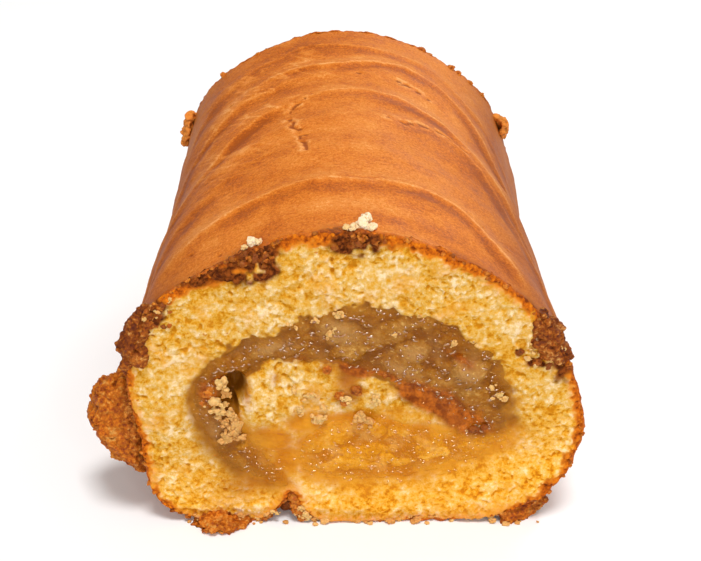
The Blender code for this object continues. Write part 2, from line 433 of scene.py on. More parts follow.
for number, (line, strength) in enumerate(FOLDS):
    line = np.array(line, float)
    centre = np.interp(s, line[:, 0], line[:, 1]) + wander + waves(skin_at, 2.2, 60 + number) * 0.25
    steep = np.interp(s, line[:, 0], np.hypot(1, np.gradient(line[:, 1], line[:, 0])))
    off = (y - centre) / steep
    there = ease(s, line[0, 0] - 2, line[0, 0] + 10) * (1 - ease(s, line[-1, 0] - 8, line[-1, 0] + 2))
    there = strength * there * (0.75 + 0.35 * waves(skin_at, 14, 40 + number))
    lip = np.where(off > 0, np.exp(-(off / 4.5) ** 2), np.exp(-(off / 0.9) ** 2))
    height += there * (0.45 * lip - 0.38 * np.exp(-((off + 3.0) / 2.4) ** 2))
    # painted highlight on the fold's lip, painted shade in the valley in front of it
    tone += there * (1.3 * np.exp(-((off - 0.3) / 0.5) ** 2) + 0.35 * np.exp(-((off - 3.0) / 3.5) ** 2)
                     - 0.85 * np.exp(-((off + 3.2) / 3.0) ** 2))
PATCHES = [(-31, 47, 9, 4.5, 0.5, -0.5), (-29, 69, 5, 9, -0.6, -0.6), (17, 77, 12, 3.2, 0, -0.7),
           (31, 56, 9, 8, -0.3, -0.4), (-40, 95, 4, 7, -0.5, 0.6), (-12, 101, 17, 2.6, 0.1, 0.5),
           (-20, 124, 12, 4, 0.1, -0.6), (-46, 102, 4, 15, 0, -0.6), (5, 112, 8, 2.5, 0.3, 0.35),
           (0, 14, 24, 4, 0, 0.45), (2, 7.5, 22, 2.5, 0, -0.4), (-8, 45, 12, 3, 0.2, 0.3), (6, 60, 8, 5, 0, 0.25),
           (-52, 60, 4, 40, 0, -0.5), (52, 70, 4, 45, 0, -0.4), (32, 92, 5, 7, 0, 0.4), (-6, 90, 12, 2.5, 0, -0.4)]
for at_s, at_y, wide, long, lean, amount in PATCHES:
    bent = skin_at + wander[:, None] * 1.2
    tone += amount * spot(bent[:, 0], bent[:, 1], at_s, at_y, wide, long, lean)
creases = np.abs(waves(skin_at * (0.16, 1.0) + np.stack([wander, wander], axis=1), 4.0, 70, 2))
# painted shade along the creases, where the skin dips a little
tone -= 0.3 * (1 - ease(creases, 0.0, 0.22)) * ease(waves(skin_at, 20, 71), -0.1, 0.5)
height -= 0.07 * (1 - ease(creases, 0.0, 0.3)) * ease(waves(skin_at, 20, 71), -0.1, 0.5)
lean = skin_at @ np.array([[0.75, -0.66], [0.66, 0.75]]).T
ripple = np.abs(waves(lean * (0.22, 1.0) + np.stack([wander, wander], axis=1), 3.2, 72, 2))
zone = np.clip(spot(s, y, -24, 100, 20, 26) + 0.8 * spot(s, y, -38, 60, 16, 30), 0, 1)
tone += 1.0 * (1 - ease(ripple, 0.0, 0.16)) * zone - 0.2 * zone
height += 0.16 * (1 - ease(ripple, 0.0, 0.3)) * zone
print("folds", len(FOLDS), "height", height.min().round(2), "to", height.max().round(2), "mm")

# %% Cracks and pits in the skin
CRACKS = [([(-14, 80), (-17, 76), (-18.5, 71), (-17, 66), (-15.5, 61), (-14.5, 56), (-12, 51), (-12, 46)], 1.0),
          ([(9, 67.5), (14, 67), (19, 69), (26, 70), (33, 69)], 0.9),
          ([(-9, 26.6), (0, 27.2), (8, 27.0), (18, 28.3)], 0.3),
          ([(9, 97), (15, 95.5), (22, 93)], 0.9)]
crack = np.zeros(len(s))
lifted = np.zeros(len(s))
for path, amount in CRACKS:
    bent = skin_at + np.stack([waves(skin_at, 2.6, 9), waves(skin_at, 2.6, 10)], axis=1) * 0.8
    gap = gap_to(bent, np.array(path, float), closed=False)
    broken = amount * ease(waves(skin_at, 2.2, 12), -0.35, 0.25)
    crack = np.maximum(crack, np.exp(-(gap / 0.7) ** 2) * broken)
    # the lip beside each crack: raised a little, and painted paler as a painted highlight
    lifted = np.maximum(lifted, np.exp(-((gap - 1.4) / 0.7) ** 2) * broken)
for at_s, at_y, size in [(1.5, 98, 0.9), (13, 97, 1.1), (15.5, 96, 0.8), (19, 94.5, 1.2), (22.5, 93, 0.8),
                         (-14.5, 60, 1.0), (-12.8, 56, 0.9), (-37, 98, 1.0), (41, 20, 0.7), (45, 80, 0.8),
                         (-41, 11, 0.7), (-33, 4.5, 0.8), (30, 26.5, 0.6), (34, 24, 0.6)]:
    crack = np.maximum(crack, np.exp(-(((s - at_s) / size) ** 2 + ((y - at_y) / (size * 0.7)) ** 2)))
upper = ease(np.repeat(np.sin(angles)[None, :], len(rows_y), 0).ravel(), -0.75, -0.1)
fine = waves(skin_at, 1.5, 20, 2) * 0.05 + waves(skin_at, 4.5, 21) * 0.07 + waves(skin_at, 12, 22) * 0.2
frayed = np.repeat(np.exp(-np.minimum(rows_y - FRONT, BACK - rows_y) / 1.3)[:, None], COLUMNS, 1).ravel()
near, crease, number = lumps(skin_at, 1.3, 80)
granules = 0.30 * np.clip(1 - (near / 0.9) ** 2, -0.5, 1) * (0.4 + number) + waves(skin_at, 2.6, 81) * 0.3
away = ease(skin_at[:, 1], FRONT + 22, FRONT + 75)
side = np.repeat(np.abs(np.cos(angles))[None, :], len(rows_y), 0).ravel()
# how far round to the side; the flanks are darkened with it as painted shade
flank = ease(side, 0.62, 0.98)
shoulder = np.exp(-((np.repeat(np.degrees(angles)[None, :], len(rows_y), 0).ravel() - 152) / 15) ** 2)
height = height - away * (1.1 * ease(side, 0.75, 0.98) + 2.2 * shoulder * ease(skin_at[:, 1], 0, BACK - 8))
sagged = sum(amount * np.exp(-((np.degrees(angles) - at) / wide) ** 2)
             for at, wide, amount in [(-12, 21, 2.1), (180, 14, 1.2), (216, 11, 3.3)])
sagged = (sagged[None, :] * (1 - ease(rows_y - FRONT, 8, 50))[:, None]).ravel()
profile = base.ravel() + (height - crack * 0.5 + lifted * 0.15) * upper + sagged + fine + frayed * (granules - 0.1)
print("cracks", len(CRACKS))

# %% [markdown]
# The last rows of the grid turn in over the cut, so the skin has an edge with some thickness. The
# edge wavers a little, as a knife leaves it.

# %% The skin's points and its values
X = np.cos(angles)[None, :] * profile.reshape(base.shape)
Z = np.maximum(HUB + np.sin(angles)[None, :] * profile.reshape(base.shape), 0.08)
from_end = np.minimum(rows_y - FRONT, BACK - rows_y)
waver = (waves(skin_at, 1.8, 30, 2) * 0.6 - 0.15).reshape(base.shape) * np.exp(-from_end / 1.6)[:, None]
middle_y = (FRONT + BACK) / 2
Yall = rows_y[:, None] + waver * np.sign(rows_y - middle_y)[:, None]
skin_points = np.stack([X, Yall, Z], axis=-1)
tuck = []
inward = np.stack([-np.cos(angles), np.zeros(COLUMNS), -np.sin(angles)], axis=1)
for end, sign in ((0, -1), (-1, 1)):
    for a, b in ((0.18, 0.16), (0.55, 0.22), (1.5, -0.5)):
        tuck.append(skin_points[end] + inward * a + np.array([0, sign * b, 0]))
skin_rows = np.concatenate([np.array(tuck[2::-1]), skin_points, np.array(tuck[3:])])
edge = np.concatenate([[0, 0, 0], from_end, [0, 0, 0]])
rows = len(edge)
under = 1 - ease(Z, 2.0, 16.0)
skin_marks = {"tone": tone * upper, "crack": crack * upper, "under": under.ravel()}
for key, values in skin_marks.items():
    table = values.reshape(base.shape)
    skin_marks[key] = np.concatenate([np.repeat(table[:1], 3, 0), table, np.repeat(table[-1:], 3, 0)]).ravel()
skin_marks["edge"] = np.repeat(edge[:, None], COLUMNS, 1).ravel()
scorch = np.zeros(COLUMNS)
for at_s, wide, amount in [(-27, 5, 1.0), (-3, 4.5, 0.9), (-60, 14, 0.7), (62, 9, 0.7), (30, 6, 0.35), (46, 5, 0.5)]:
    scorch += amount * np.exp(-((around - at_s) / wide) ** 2)
skin_marks["flank"] = np.concatenate([np.zeros(3 * COLUMNS), flank, np.zeros(3 * COLUMNS)])
skin_marks["scorch"] = (scorch[None, :] * (np.arange(rows) < rows / 2)[:, None]).ravel()
skin_marks["lifted"] = np.concatenate([np.zeros(3 * COLUMNS), lifted * upper, np.zeros(3 * COLUMNS)])
skin_uv = np.stack(np.meshgrid(np.arange(COLUMNS) / COLUMNS, np.linspace(0, 0.45, rows)), axis=-1).reshape(-1, 2)
print("skin points", skin_rows.shape)

# %% [markdown]
# Its colour: an orange-brown that drifts over centimetres. The valleys in front of the folds, the
# creases and the flanks are darker as painted shade; the lips of the folds and cracks are paler as a
# painted highlight. It is darker towards the bottom, darkest in the cracks and where the edge caught.

# %% Skin material
r = Recipe("baked_skin", Subsurface_Weight=0.05, Subsurface_Scale=0.002, IOR=1.45, Specular_IOR_Level=0.25)
mottle = r.grain(24, 3, 0.55)
cloud = r.grain(6, 3, 0.6)
speck = r.grain(0.8, 2, 0.6)
pores = r.grain(0.4, 1, 0.5)
warmth = mottle * 0.45 + cloud * 0.3 + speck * 0.25
streak = r.grain(2.2, 3, 0.6, stretch=(0.5, 2.2, 1.0))
level = 0.50 + (mottle - 0.5) * 0.7 + (cloud - 0.5) * 0.5 + (streak - 0.5) * 0.3 + (speck - 0.5) * 0.9 + (pores - 0.5) * 0.4
# tone carries painted highlights and painted shade from the folds and creases; crack lips add a painted highlight;
# darker towards the bottom
level = level + r.read("tone") * 0.44 + r.read("lifted") * 0.45 - r.read("under") * 0.25 - 0.03
colour = r.node("ValToRGB", {"stops": [(0.0, (0.36, 0.072, 0.001)), (0.25, (0.54, 0.123, 0.004)), (0.5, (0.68, 0.186, 0.014)),
                                       (0.75, (0.77, 0.255, 0.038)), (1.0, (0.88, 0.38, 0.11))]}, {0: level})
# painted shade: the flanks darkened
colour = r.mix(colour, r.tinted(colour, (0.64, 0.61, 0.58)), r.read("flank"))
colour = r.mix(colour, (0.27, 0.050, 0.002), r.read("crack").span(0.2, 0.75, 0, 0.8))
grit = r.grain(0.9, 2, 0.6)
caught = r.node("ValToRGB", {"stops": [(0.25, (0.19, 0.030, 0.001)), (0.5, (0.50, 0.105, 0.002)), (0.75, (0.72, 0.19, 0.004))]},
                {0: grit + r.read("scorch") * -0.3})
colour = r.mix(colour, caught, r.read("edge").span(0.2, 1.6, 0.95, 0) * cloud.span(0.25, 0.6, 0.4, 1))
colour = r.mix(colour, (0.13, 0.025, 0.002), r.read("edge").span(0.6, 4.5, 1.0, 0) * r.read("scorch") * speck.span(0.35, 0.6))
skin_material = r.finish(colour, rough=cloud.span(0.3, 0.7, 0.50, 0.66) + speck * 0.1,
                         height=speck * 0.45 + pores * 0.55, bump_mm=0.22, strength=0.7)
skin = make_piece("skin", skin_rows.reshape(-1, 3), grid_faces(rows, COLUMNS, wrap=True), skin_material,
                  skin_marks, uv=skin_uv)
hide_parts("sponge")

# %% [markdown]
# ## The lines of the cut
# Each cut end is bounded by the skin's own edge. Distances from that edge, from the apple and from
# the side of the sheet that was its baked top are kept in small tables, and looked up everywhere.

# %% Distances everywhere on the cut
STEP = 1.0
gx = np.arange(-WIDE / 2 - 4, WIDE / 2 + 4 + STEP, STEP)
gz = np.arange(-4, TALL + 4 + STEP, STEP)
coarse = np.stack(np.meshgrid(gx, gz, indexing="ij"), axis=-1).reshape(-1, 2)
tip = int(np.argmin(((apple_ring - (0.252 * WIDE, 0.366 * TALL)) ** 2).sum(axis=1)))
seam = int(np.argmin(apple_ring[:, 1] + 0.5 * np.abs(apple_ring[:, 0] + 0.17 * WIDE)))
first, last = sorted((tip, seam))
ways = [apple_ring[first:last + 1], np.vstack([apple_ring[last:], apple_ring[:first + 1]])]
wrap_line = min(ways, key=len)


def signed(ring):
    """Distance to a closed ring, more than 0 inside it."""
    return gap_to(coarse, ring) * np.where(within(coarse, ring), 1, -1)


depth_in = {-1: signed(skin_points[0][:, ::2]), 1: signed(skin_points[-1][:, ::2])}
depth_apple = signed(apple_ring)
depth_wrap = gap_to(coarse, wrap_line, closed=False)


def look_up(table, x, z):
    """Reads a table of the cut at any place."""
    u = np.clip((x - gx[0]) / STEP, 0, len(gx) - 1.001)
    v = np.clip((z - gz[0]) / STEP, 0, len(gz) - 1.001)
    i, j = u.astype(int), v.astype(int)
    fu, fv = u - i, v - j
    t = table.reshape(len(gx), len(gz))
    return ((t[i, j] * (1 - fv) + t[i, j + 1] * fv) * (1 - fu)
            + (t[i + 1, j] * (1 - fv) + t[i + 1, j + 1] * fv) * fu)


print("baked side inside the roll:", len(wrap_line), "points from", wrap_line[0].round(1), "to", wrap_line[-1].round(1))

# %% A sheet of fine relief over a cut
def relief_sheet(name, sign, xs, zs, keep, px, pz, height, marks, material, node):
    """A grid over one cut end; sign is -1 at the front and 1 at the back, height stands out of the cut."""
    quads = grid_faces(len(xs), len(zs), flip=sign > 0)
    quads = quads[keep[quads].all(axis=1)]
    used = np.unique(quads)
    index = np.full(len(keep), -1)
    index[used] = np.arange(len(used))
    points = np.stack([px, (FRONT if sign < 0 else BACK) + sign * height, pz], axis=1)[used]
    span = max(xs[-1] - xs[0], zs[-1] - zs[0])
    uv = np.stack([(px - xs[0]) / span, (pz - zs[0]) / span], axis=1)[used].clip(0, 1)
    piece = make_piece(name, points, index[quads], material, {k: v[used] for k, v in marks.items()}, uv=uv)
    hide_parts(node)


def cave(x, z):
    """The gap left where the sheet starts to roll: the sheets sink there and are painted dark as painted shade."""
    gap = spot(x, z, -0.262 * WIDE, 0.487 * TALL, 2.3, 3.6, -0.1)
    return np.clip(1.5 * np.maximum(gap, 0.9 * spot(x, z, -0.272 * WIDE, 0.435 * TALL, 1.6, 3.0, 0.2)) - 0.2, 0, 1)


print("cave at the core:", cave(np.array([-0.262 * WIDE]), np.array([0.475 * TALL])).round(2))

# %% [markdown]
# ## The cut crumb
# A knife leaves sponge open: fine granules about a millimetre wide with small dark pores between
# them, brown along the crust and soaked where the apple lies. They cast their own shadows, so they
# are real shape: a fine sheet over each cut, pushed in and out. Only the smallest are left to bump.

# %% Where the sponge meets the apple
def swell(p):
    """The slow unevenness of a cut, shared by the sponge and the apple so that they meet."""
    return waves(p, 16, 61) * 0.45 + waves(p, 7, 62) * 0.25


def ragged(x, z, apple, seed):
    """The edge of the apple, torn: deep teeth along the top, smooth where it has soaked in."""
    p = np.stack([x, z], axis=1)
    torn = 0.35 + 0.9 * ease(z, 0.52 * TALL, 0.64 * TALL) + 0.6 * spot(x, z, 0.33 * WIDE, 0.42 * TALL, 6, 8)
    torn = np.maximum(torn, 0.9 * spot(x, z, -0.04 * WIDE, 0.43 * TALL, 14, 5))
    return apple + torn * (waves(p, 6.5, seed + 12) * 1.0 + waves(p, 2.3, seed + 13, 2) * 1.2 + waves(p, 1.0, seed + 16) * 0.5)


def lowness(x, z):
    """1 in the golden lower part of the roll, 0 above and at the left, where the juice is darker."""
    p = np.stack([x, z], axis=1)
    line = z + 0.38 * np.maximum(x - 0.10 * WIDE, 0) - 0.05 * TALL * waves(p, 8, 63)
    low = 1 - ease(line, 0.41 * TALL, 0.50 * TALL)
    return low * ease(x + 0.35 * (z - 12), -0.27 * WIDE, -0.11 * WIDE)


def soaked(x, z, edge, wrap):
    """How wet the sponge is: a little at the top edge, deep along the bottom and round the turn."""
    p = np.stack([x, z], axis=1)
    reach = 0.7 + 3.4 * (1 - ease(z, 0.22 * TALL, 0.60 * TALL)) * (1 + 0.45 * waves(p, 9, 64))
    reach = np.where((z > 0.5 * TALL) & (wrap < 3), 0.5, reach)
    wet = np.exp(-np.maximum(-edge, 0) / np.maximum(reach, 0.3))
    for at_x, at_z, wide, tall, amount in [(-21, 26, 7, 5, 1.2), (-17, 20, 5, 6, 1.1), (12, 33.5, 10, 2.6, 0.5),
                                           (23, 31.5, 6, 3, 0.55), (-30, 31, 3, 8, 0.7), (0, 32, 12, 2.2, 1.0),
                                           (-12, 31, 6, 3.5, 1.1), (-2.0, 43.5, 3.4, 3.6, 1.0), (-0.8, 39, 3.2, 3.0, 0.9)]:
        wet = np.maximum(wet, amount * spot(x, z, at_x, at_z, wide, tall))
    dry = spot(x, z, -23, 36.5, 5.0, 4.0) + spot(x, z, -11, 42.5, 8, 3.6) + spot(x, z, 8, 38, 9, 2.0)
    return np.clip(wet, 0, 1) * (1 - 0.9 * np.clip(dry, 0, 1))


def band(p, wrap, edge, seed):
    """The browned face of the sheet that was rolled inside: it runs along the top of the tongue."""
    x, z = p.T
    wide = 1.7 + 1.9 * ease(x, 0.02 * WIDE, 0.22 * WIDE) + 0.9 * waves(p, 6, seed)
    near = np.exp(-(wrap / np.maximum(wide, 0.5)) ** 2)
    strength = np.clip(0.45 + 0.8 * ease(x, 0, 0.15 * WIDE) + 0.7 * waves(p, 7, seed + 3), 0, 1)
    return near * strength * ease(x, -0.18 * WIDE, -0.05 * WIDE) * ease(z, 24, 31)


print("wet at the turn:", soaked(np.array([-20.0]), np.array([26.0]), np.array([-3.0]), np.array([5.0])).round(2))

# %% Relief of the crumb
def crust_width(p, seed):
    """How thick the brown edge is, in millimetres, round the cut."""
    x, z = p.T
    width = 0.75 + 0.4 * waves(p, 4, seed) + 0.3 * waves(p, 1.3, seed + 1)
    width += 0.9 * ease(z, 0.72 * TALL, 0.9 * TALL)
    width += 1.5 * spot(x, z, -0.33 * WIDE, 0.86 * TALL, 0.15 * WIDE, 0.09 * TALL)
    width += 0.9 * spot(x, z, 0.44 * WIDE, 0.12 * TALL, 0.10 * WIDE, 0.12 * TALL)
    width += 0.9 * spot(x, z, 0.49 * WIDE, 0.50 * TALL, 0.06 * WIDE, 0.24 * TALL)
    width += 0.9 * spot(x, z, -0.42 * WIDE, 0.06 * TALL, 0.10 * WIDE, 0.07 * TALL)
    return np.maximum(width * (0.2 + 0.8 * ease(z, 1.0, 8.0)), 0.2)


def crumb_relief(p, seed):
    """Height of dry crumb, soft granules with small pits between them, and the tone of its clumps."""
    q = p + np.stack([waves(p, 2.0, seed + 1, 2), waves(p, 2.0, seed + 2, 2)], axis=1) * 0.5
    near, crease, number = lumps(q, 0.9, seed + 3)
    grain = np.clip(1 - (near / 0.7) ** 2, -0.5, 1) * (0.4 + 0.8 * number)
    near, crease, number = lumps(q, 2.1, seed + 8)
    clump = np.clip(1 - (near / 1.8) ** 2, -0.4, 1) * (0.3 + number)
    tiny = ease(waves(q, 1.3, seed + 4, 2), 0.2, 0.75)
    wide = ease(waves(q * (1, 1.2), 3.6, seed + 5, 2), 0.3, 0.8)
    dense = ease(waves(p, 9, seed + 9), -0.2, 0.5)
    rough = 0.16 * grain + 0.20 * clump - 0.34 * tiny - 0.50 * wide + waves(q, 0.55, seed + 10) * 0.10
    return waves(q, 5.0, seed + 6, 2) * 0.22 + rough * (1.1 - 0.45 * dense), number


def blur(table, width):
    """A table softened over so many of its own steps, both ways."""
    reach = int(width * 3) + 1
    kernel = np.exp(-0.5 * (np.arange(-reach, reach + 1) / width) ** 2)
    kernel /= kernel.sum()
    for axis in (0, 1):
        pad = [(0, 0), (0, 0)]
        pad[axis] = (reach, reach)
        wide = np.pad(table, pad, mode="edge")
        table = sum(k * np.take(wide, range(n, n + table.shape[axis]), axis=axis) for n, k in enumerate(kernel))
    return table


def sunken(height, shape, pitch):
    """How far each point lies below what surrounds it: more than 0 in pores, less on granules."""
    table = height.reshape(shape)
    return (1.1 * (blur(table, 0.45 / pitch) - table) + 0.6 * (blur(table, 1.5 / pitch) - table)).ravel()


def cut_sheet(name, sign, seed, pitch):
    xs = np.arange(-WIDE / 2 - 1.4, WIDE / 2 + 1.4, pitch)
    zs = np.arange(-0.6, TALL + 1.4, pitch)
    x, z = [a.ravel() for a in np.meshgrid(xs, zs, indexing="ij")]
    p = np.stack([x, z], axis=1)
    table = depth_in[sign]
    rim, apple, wrap = look_up(table, x, z), look_up(depth_apple, x, z), look_up(depth_wrap, x, z)
    edge = ragged(x, z, apple, seed)
    low = lowness(x, z)
    soak = soaked(x, z, edge, wrap)
    grown, clump = crumb_relief(p, seed)
    clump = blur(clump.reshape(len(xs), len(zs)), 0.4 / pitch).ravel()
    smooth = 0.12 * (1 - np.abs(waves(p * (0.5, 1.3), 1.5, seed + 14))) + 0.05 * waves(p, 1.0, seed + 15)
    height = swell(p) + grown * (1 - soak) ** 1.5 + smooth * soak
    height += 0.35 * ease(-edge, 0.0, 2.5) * (1 - soak)
    if sign < 0:
        height += 1.3 * spot(x, z, -23, 36, 5.2, 4.6)
    crust = crust_width(p, seed + 40)
    browned = 1 - ease(rim + 0.7 * waves(p, 1.2, seed + 42, 2), crust * 0.2, crust * 2.4)
    scorch = np.zeros(len(x))
    for at_x, at_z, wide, tall, amount in [(-23.6, 75.6, 5.6, 4.6, 1.3), (0.6, 80.6, 5.0, 2.8, 1.3), (-31, 73.0, 6, 3.0, 1.0), (-37, 71.5, 9, 2.2, 0.7),
                                           (46, 54, 3.5, 3.2, 1), (49.5, 50, 2.4, 7, 0.9), (43.5, 48.6, 2.6, 1.4, 0.6),
                                           (-48, 62, 4, 4, 0.8), (-51.5, 55, 2.2, 7, 0.8), (39.5, 51.5, 1.3, 1.2, 0.8)]:
        scorch = np.maximum(scorch, amount * spot(x, z, at_x, at_z, wide, tall) * (1 if sign < 0 else 0.35))
    scorch = np.clip(scorch * (1 + 0.7 * waves(p, 1.6, seed + 21)), 0, 1)
    near, crease, number = lumps(p, 1.1, seed + 20)
    grit = 0.55 * np.clip(1 - (near / 0.75) ** 2, -0.6, 1) * (0.3 + number) + waves(p, 2.2, seed + 22) * 0.3 - 0.1
    height = height * (1 - 0.6 * browned) + (0.1 + grit) * browned + scorch * grit * 1.2
    # how far each point lies below its surroundings; the crumb's colour darkens with it as painted shade in the pores
    cavity = sunken(height, (len(xs), len(zs)), pitch)
    height -= 1.3 * (1 - ease(rim, -0.1, 0.7))
    height -= 0.5 * ease(edge, 0.0, 1.5) + 1.9 * ease(edge, 1.0, 2.2)
    # the gap at the core: sunk deep, and painted dark as painted shade
    gap = cave(x, z) * (1 if sign < 0 else 0.4)
    height -= 5.5 * gap
    # points past the skin's edge are drawn back onto it
    past = np.clip(-rim, 0, None)
    grad_x = look_up(table, x + 0.5, z) - look_up(table, x - 0.5, z)
    grad_z = look_up(table, x, z + 0.5) - look_up(table, x, z - 0.5)
    size = np.maximum(np.hypot(grad_x, grad_z), 1e-6)
    px = x + grad_x / size * past
    pz = np.maximum(z + grad_z / size * past, 0.1)
    inner = band(p, wrap, edge, seed + 30)
    stain = np.zeros(len(x))
    for at_x, at_z, wide, tall, amount in [(-6.6, 46.6, 2.2, 1.6, 0.9), (-1.5, 42, 2.6, 3.6, 0.75), (-2.6, 38, 3, 1.8, 0.9),
                                           (0.5, 40, 2, 1.8, 0.9), (26, 31.5, 5, 1.6, 0.7), (-19, 43.6, 1.2, 1.6, 0.6),
                                           (-36, 38.5, 2, 3, 0.5), (-28, 12, 6, 3.2, 0.6), (-26, 40, 1.2, 4, 0.8)]:
        stain = np.maximum(stain, amount * spot(x, z, at_x, at_z, wide, tall) * (1 if sign < 0 else 0))
    # painted golden bounce light on the lower part of the cut, partly the crumb's own richer colour there
    warm = 0.88 * (1 - ease(z - 0.15 * x, 0.06 * TALL, 0.42 * TALL))
    marks = {"cavity": cavity, "browned": browned, "scorch": scorch, "soak": soak, "inner": inner, "low": low, "stain": stain,
             "clump": clump, "foot": 1 - ease(z + waves(p, 4, seed + 17), 0.8, 5.5), "warm": warm, "rim": np.clip(rim / 8.0, 0, 1), "gap": np.clip(gap * 1.5, 0, 1)}
    keep = (rim > -pitch * 1.3) & (edge < 2.2)
    relief_sheet(name, sign, xs, zs, keep, px, pz, height, marks, crumb_material, "sponge")


print("crumb relief ready")

# %% [markdown]
# The crumb's colour follows the same values as its shape: pale on the granules and darker in the
# pores, where the darkening is painted shade. It is brown at the crust, wet and golden beside the
# apple, and richer lower down, partly as painted golden bounce light. Light goes a little way into
# sponge, so it has some subsurface scattering.

# %% Crumb material and both cut ends
def juice(r, low):
    """The colour of the wet border, the same on both sides of it: golden below, darker above."""
    drift = r.grain(6, 3, 0.6)
    dark = r.mix((0.25, 0.078, 0.001), (0.36, 0.135, 0.008), drift.span(0.35, 0.65))
    gold = r.mix((0.54, 0.170, 0.001), (0.66, 0.265, 0.012), drift.span(0.35, 0.65))
    return r.mix(dark, gold, low)


def scorched(r):
    """Dark red-brown with brighter orange patches, for the browned face inside the roll."""
    return r.mix((0.20, 0.038, 0.001), (0.50, 0.125, 0.006), r.grain(2.6, 3, 0.65).span(0.35, 0.68))


r = Recipe("open_crumb", Roughness=0.8, Subsurface_Weight=0.15, Subsurface_Scale=0.0014,
           Subsurface_Radius=(1.0, 0.6, 0.25), Specular_IOR_Level=0.12)
patch = r.grain(8, 3, 0.6)
mid = r.grain(2.6, 2, 0.5)
fleck = r.grain(1.3, 3, 0.65)
dust = r.grain(0.35, 2, 0.6)
# pores darkened as painted shade
pores_shaded = r.read("cavity")
level = 0.48 - pores_shaded * 0.7 + (patch - 0.5) * 1.3 + (mid - 0.5) * 1.0 + (fleck - 0.5) * 1.3 + (dust - 0.5) * 0.8 + (r.read("clump") - 0.5) * 0.3
cool = r.node("ValToRGB", {"stops": [(0.0, (0.52, 0.190, 0.002)), (0.2, (0.63, 0.29, 0.014)), (0.4, (0.68, 0.365, 0.055)),
                                     (0.6, (0.70, 0.43, 0.12)), (0.8, (0.755, 0.52, 0.23)), (1.0, (0.84, 0.63, 0.37))]}, {0: level})
# a bounce-lit copy of the crumb's colours, mixed in lower down as painted bounce light
bounce_lit = r.node("ValToRGB", {"stops": [(0.0, (0.60, 0.18, 0.001)), (0.2, (0.78, 0.31, 0.004)), (0.4, (0.86, 0.41, 0.028)),
                                    (0.6, (0.90, 0.48, 0.075)), (0.8, (0.93, 0.56, 0.15)), (1.0, (0.96, 0.68, 0.32))]}, {0: level})
colour = r.mix(cool, bounce_lit, r.read("warm"))
colour = r.mix(colour, r.tinted(colour, (0.70, 0.74, 1.3)), r.read("foot"))
colour = r.mix(colour, (0.72, 0.30, 0.03), r.grain(11, 2).span(0.52, 0.74, 0, 0.5))
colour = r.mix(colour, juice(r, r.read("low")), r.read("soak").span(0.05, 0.95))
colour = r.mix(colour, (0.50, 0.15, 0.01), r.grain(1.1, 1).span(0.69, 0.77, 0, 0.75) * r.grain(14, 2).span(0.45, 0.6))
colour = r.mix(colour, scorched(r), r.read("inner").span(0.05, 0.6))
colour = r.mix(colour, (0.36, 0.085, 0.004), r.read("stain") * (0.55 + fleck * 0.6))
colour = r.mix(colour, (0.74, 0.26, 0.018), (1 - r.read("rim")).span(0.55, 0.92, 0, 0.9) * fleck.span(0.35, 0.62, 0.35, 1))
grit = r.grain(0.9, 2, 0.6)
caught = r.node("ValToRGB", {"stops": [(0.25, (0.19, 0.030, 0.001)), (0.5, (0.50, 0.105, 0.002)), (0.75, (0.72, 0.20, 0.005))]},
                {0: grit - pores_shaded * 0.3})
colour = r.mix(colour, (0.66, 0.20, 0.010), r.read("browned").span(0.02, 0.45))
colour = r.mix(colour, caught, r.read("browned").span(0.3, 0.85))
colour = r.mix(colour, r.mix((0.08, 0.014, 0.001), (0.26, 0.060, 0.006), fleck.span(0.38, 0.62)), r.read("scorch").span(0.10, 0.55))
# painted shade: the gap at the core darkened
colour = r.mix(colour, (0.26, 0.085, 0.004), r.read("gap"))
crumb_material = r.finish(colour, rough=0.85 - r.read("soak") * 0.62, height=fleck * 0.5 + dust * 0.5,
                          bump_mm=0.3, strength=0.7)
cut_sheet("front_cut", -1, 100, 0.27)
cut_sheet("back_cut", 1, 300, 0.32)

# %% [markdown]
# ## The apple
# Cooked apple is soft pieces of fruit held in their own thick juice: wet, smooth and part
# see-through. Each piece is a low dome with a rounded edge. Those that show at the front are laid one
# by one; the back end gets others at random. Tone runs from dark juice (0) to pale fruit (1).

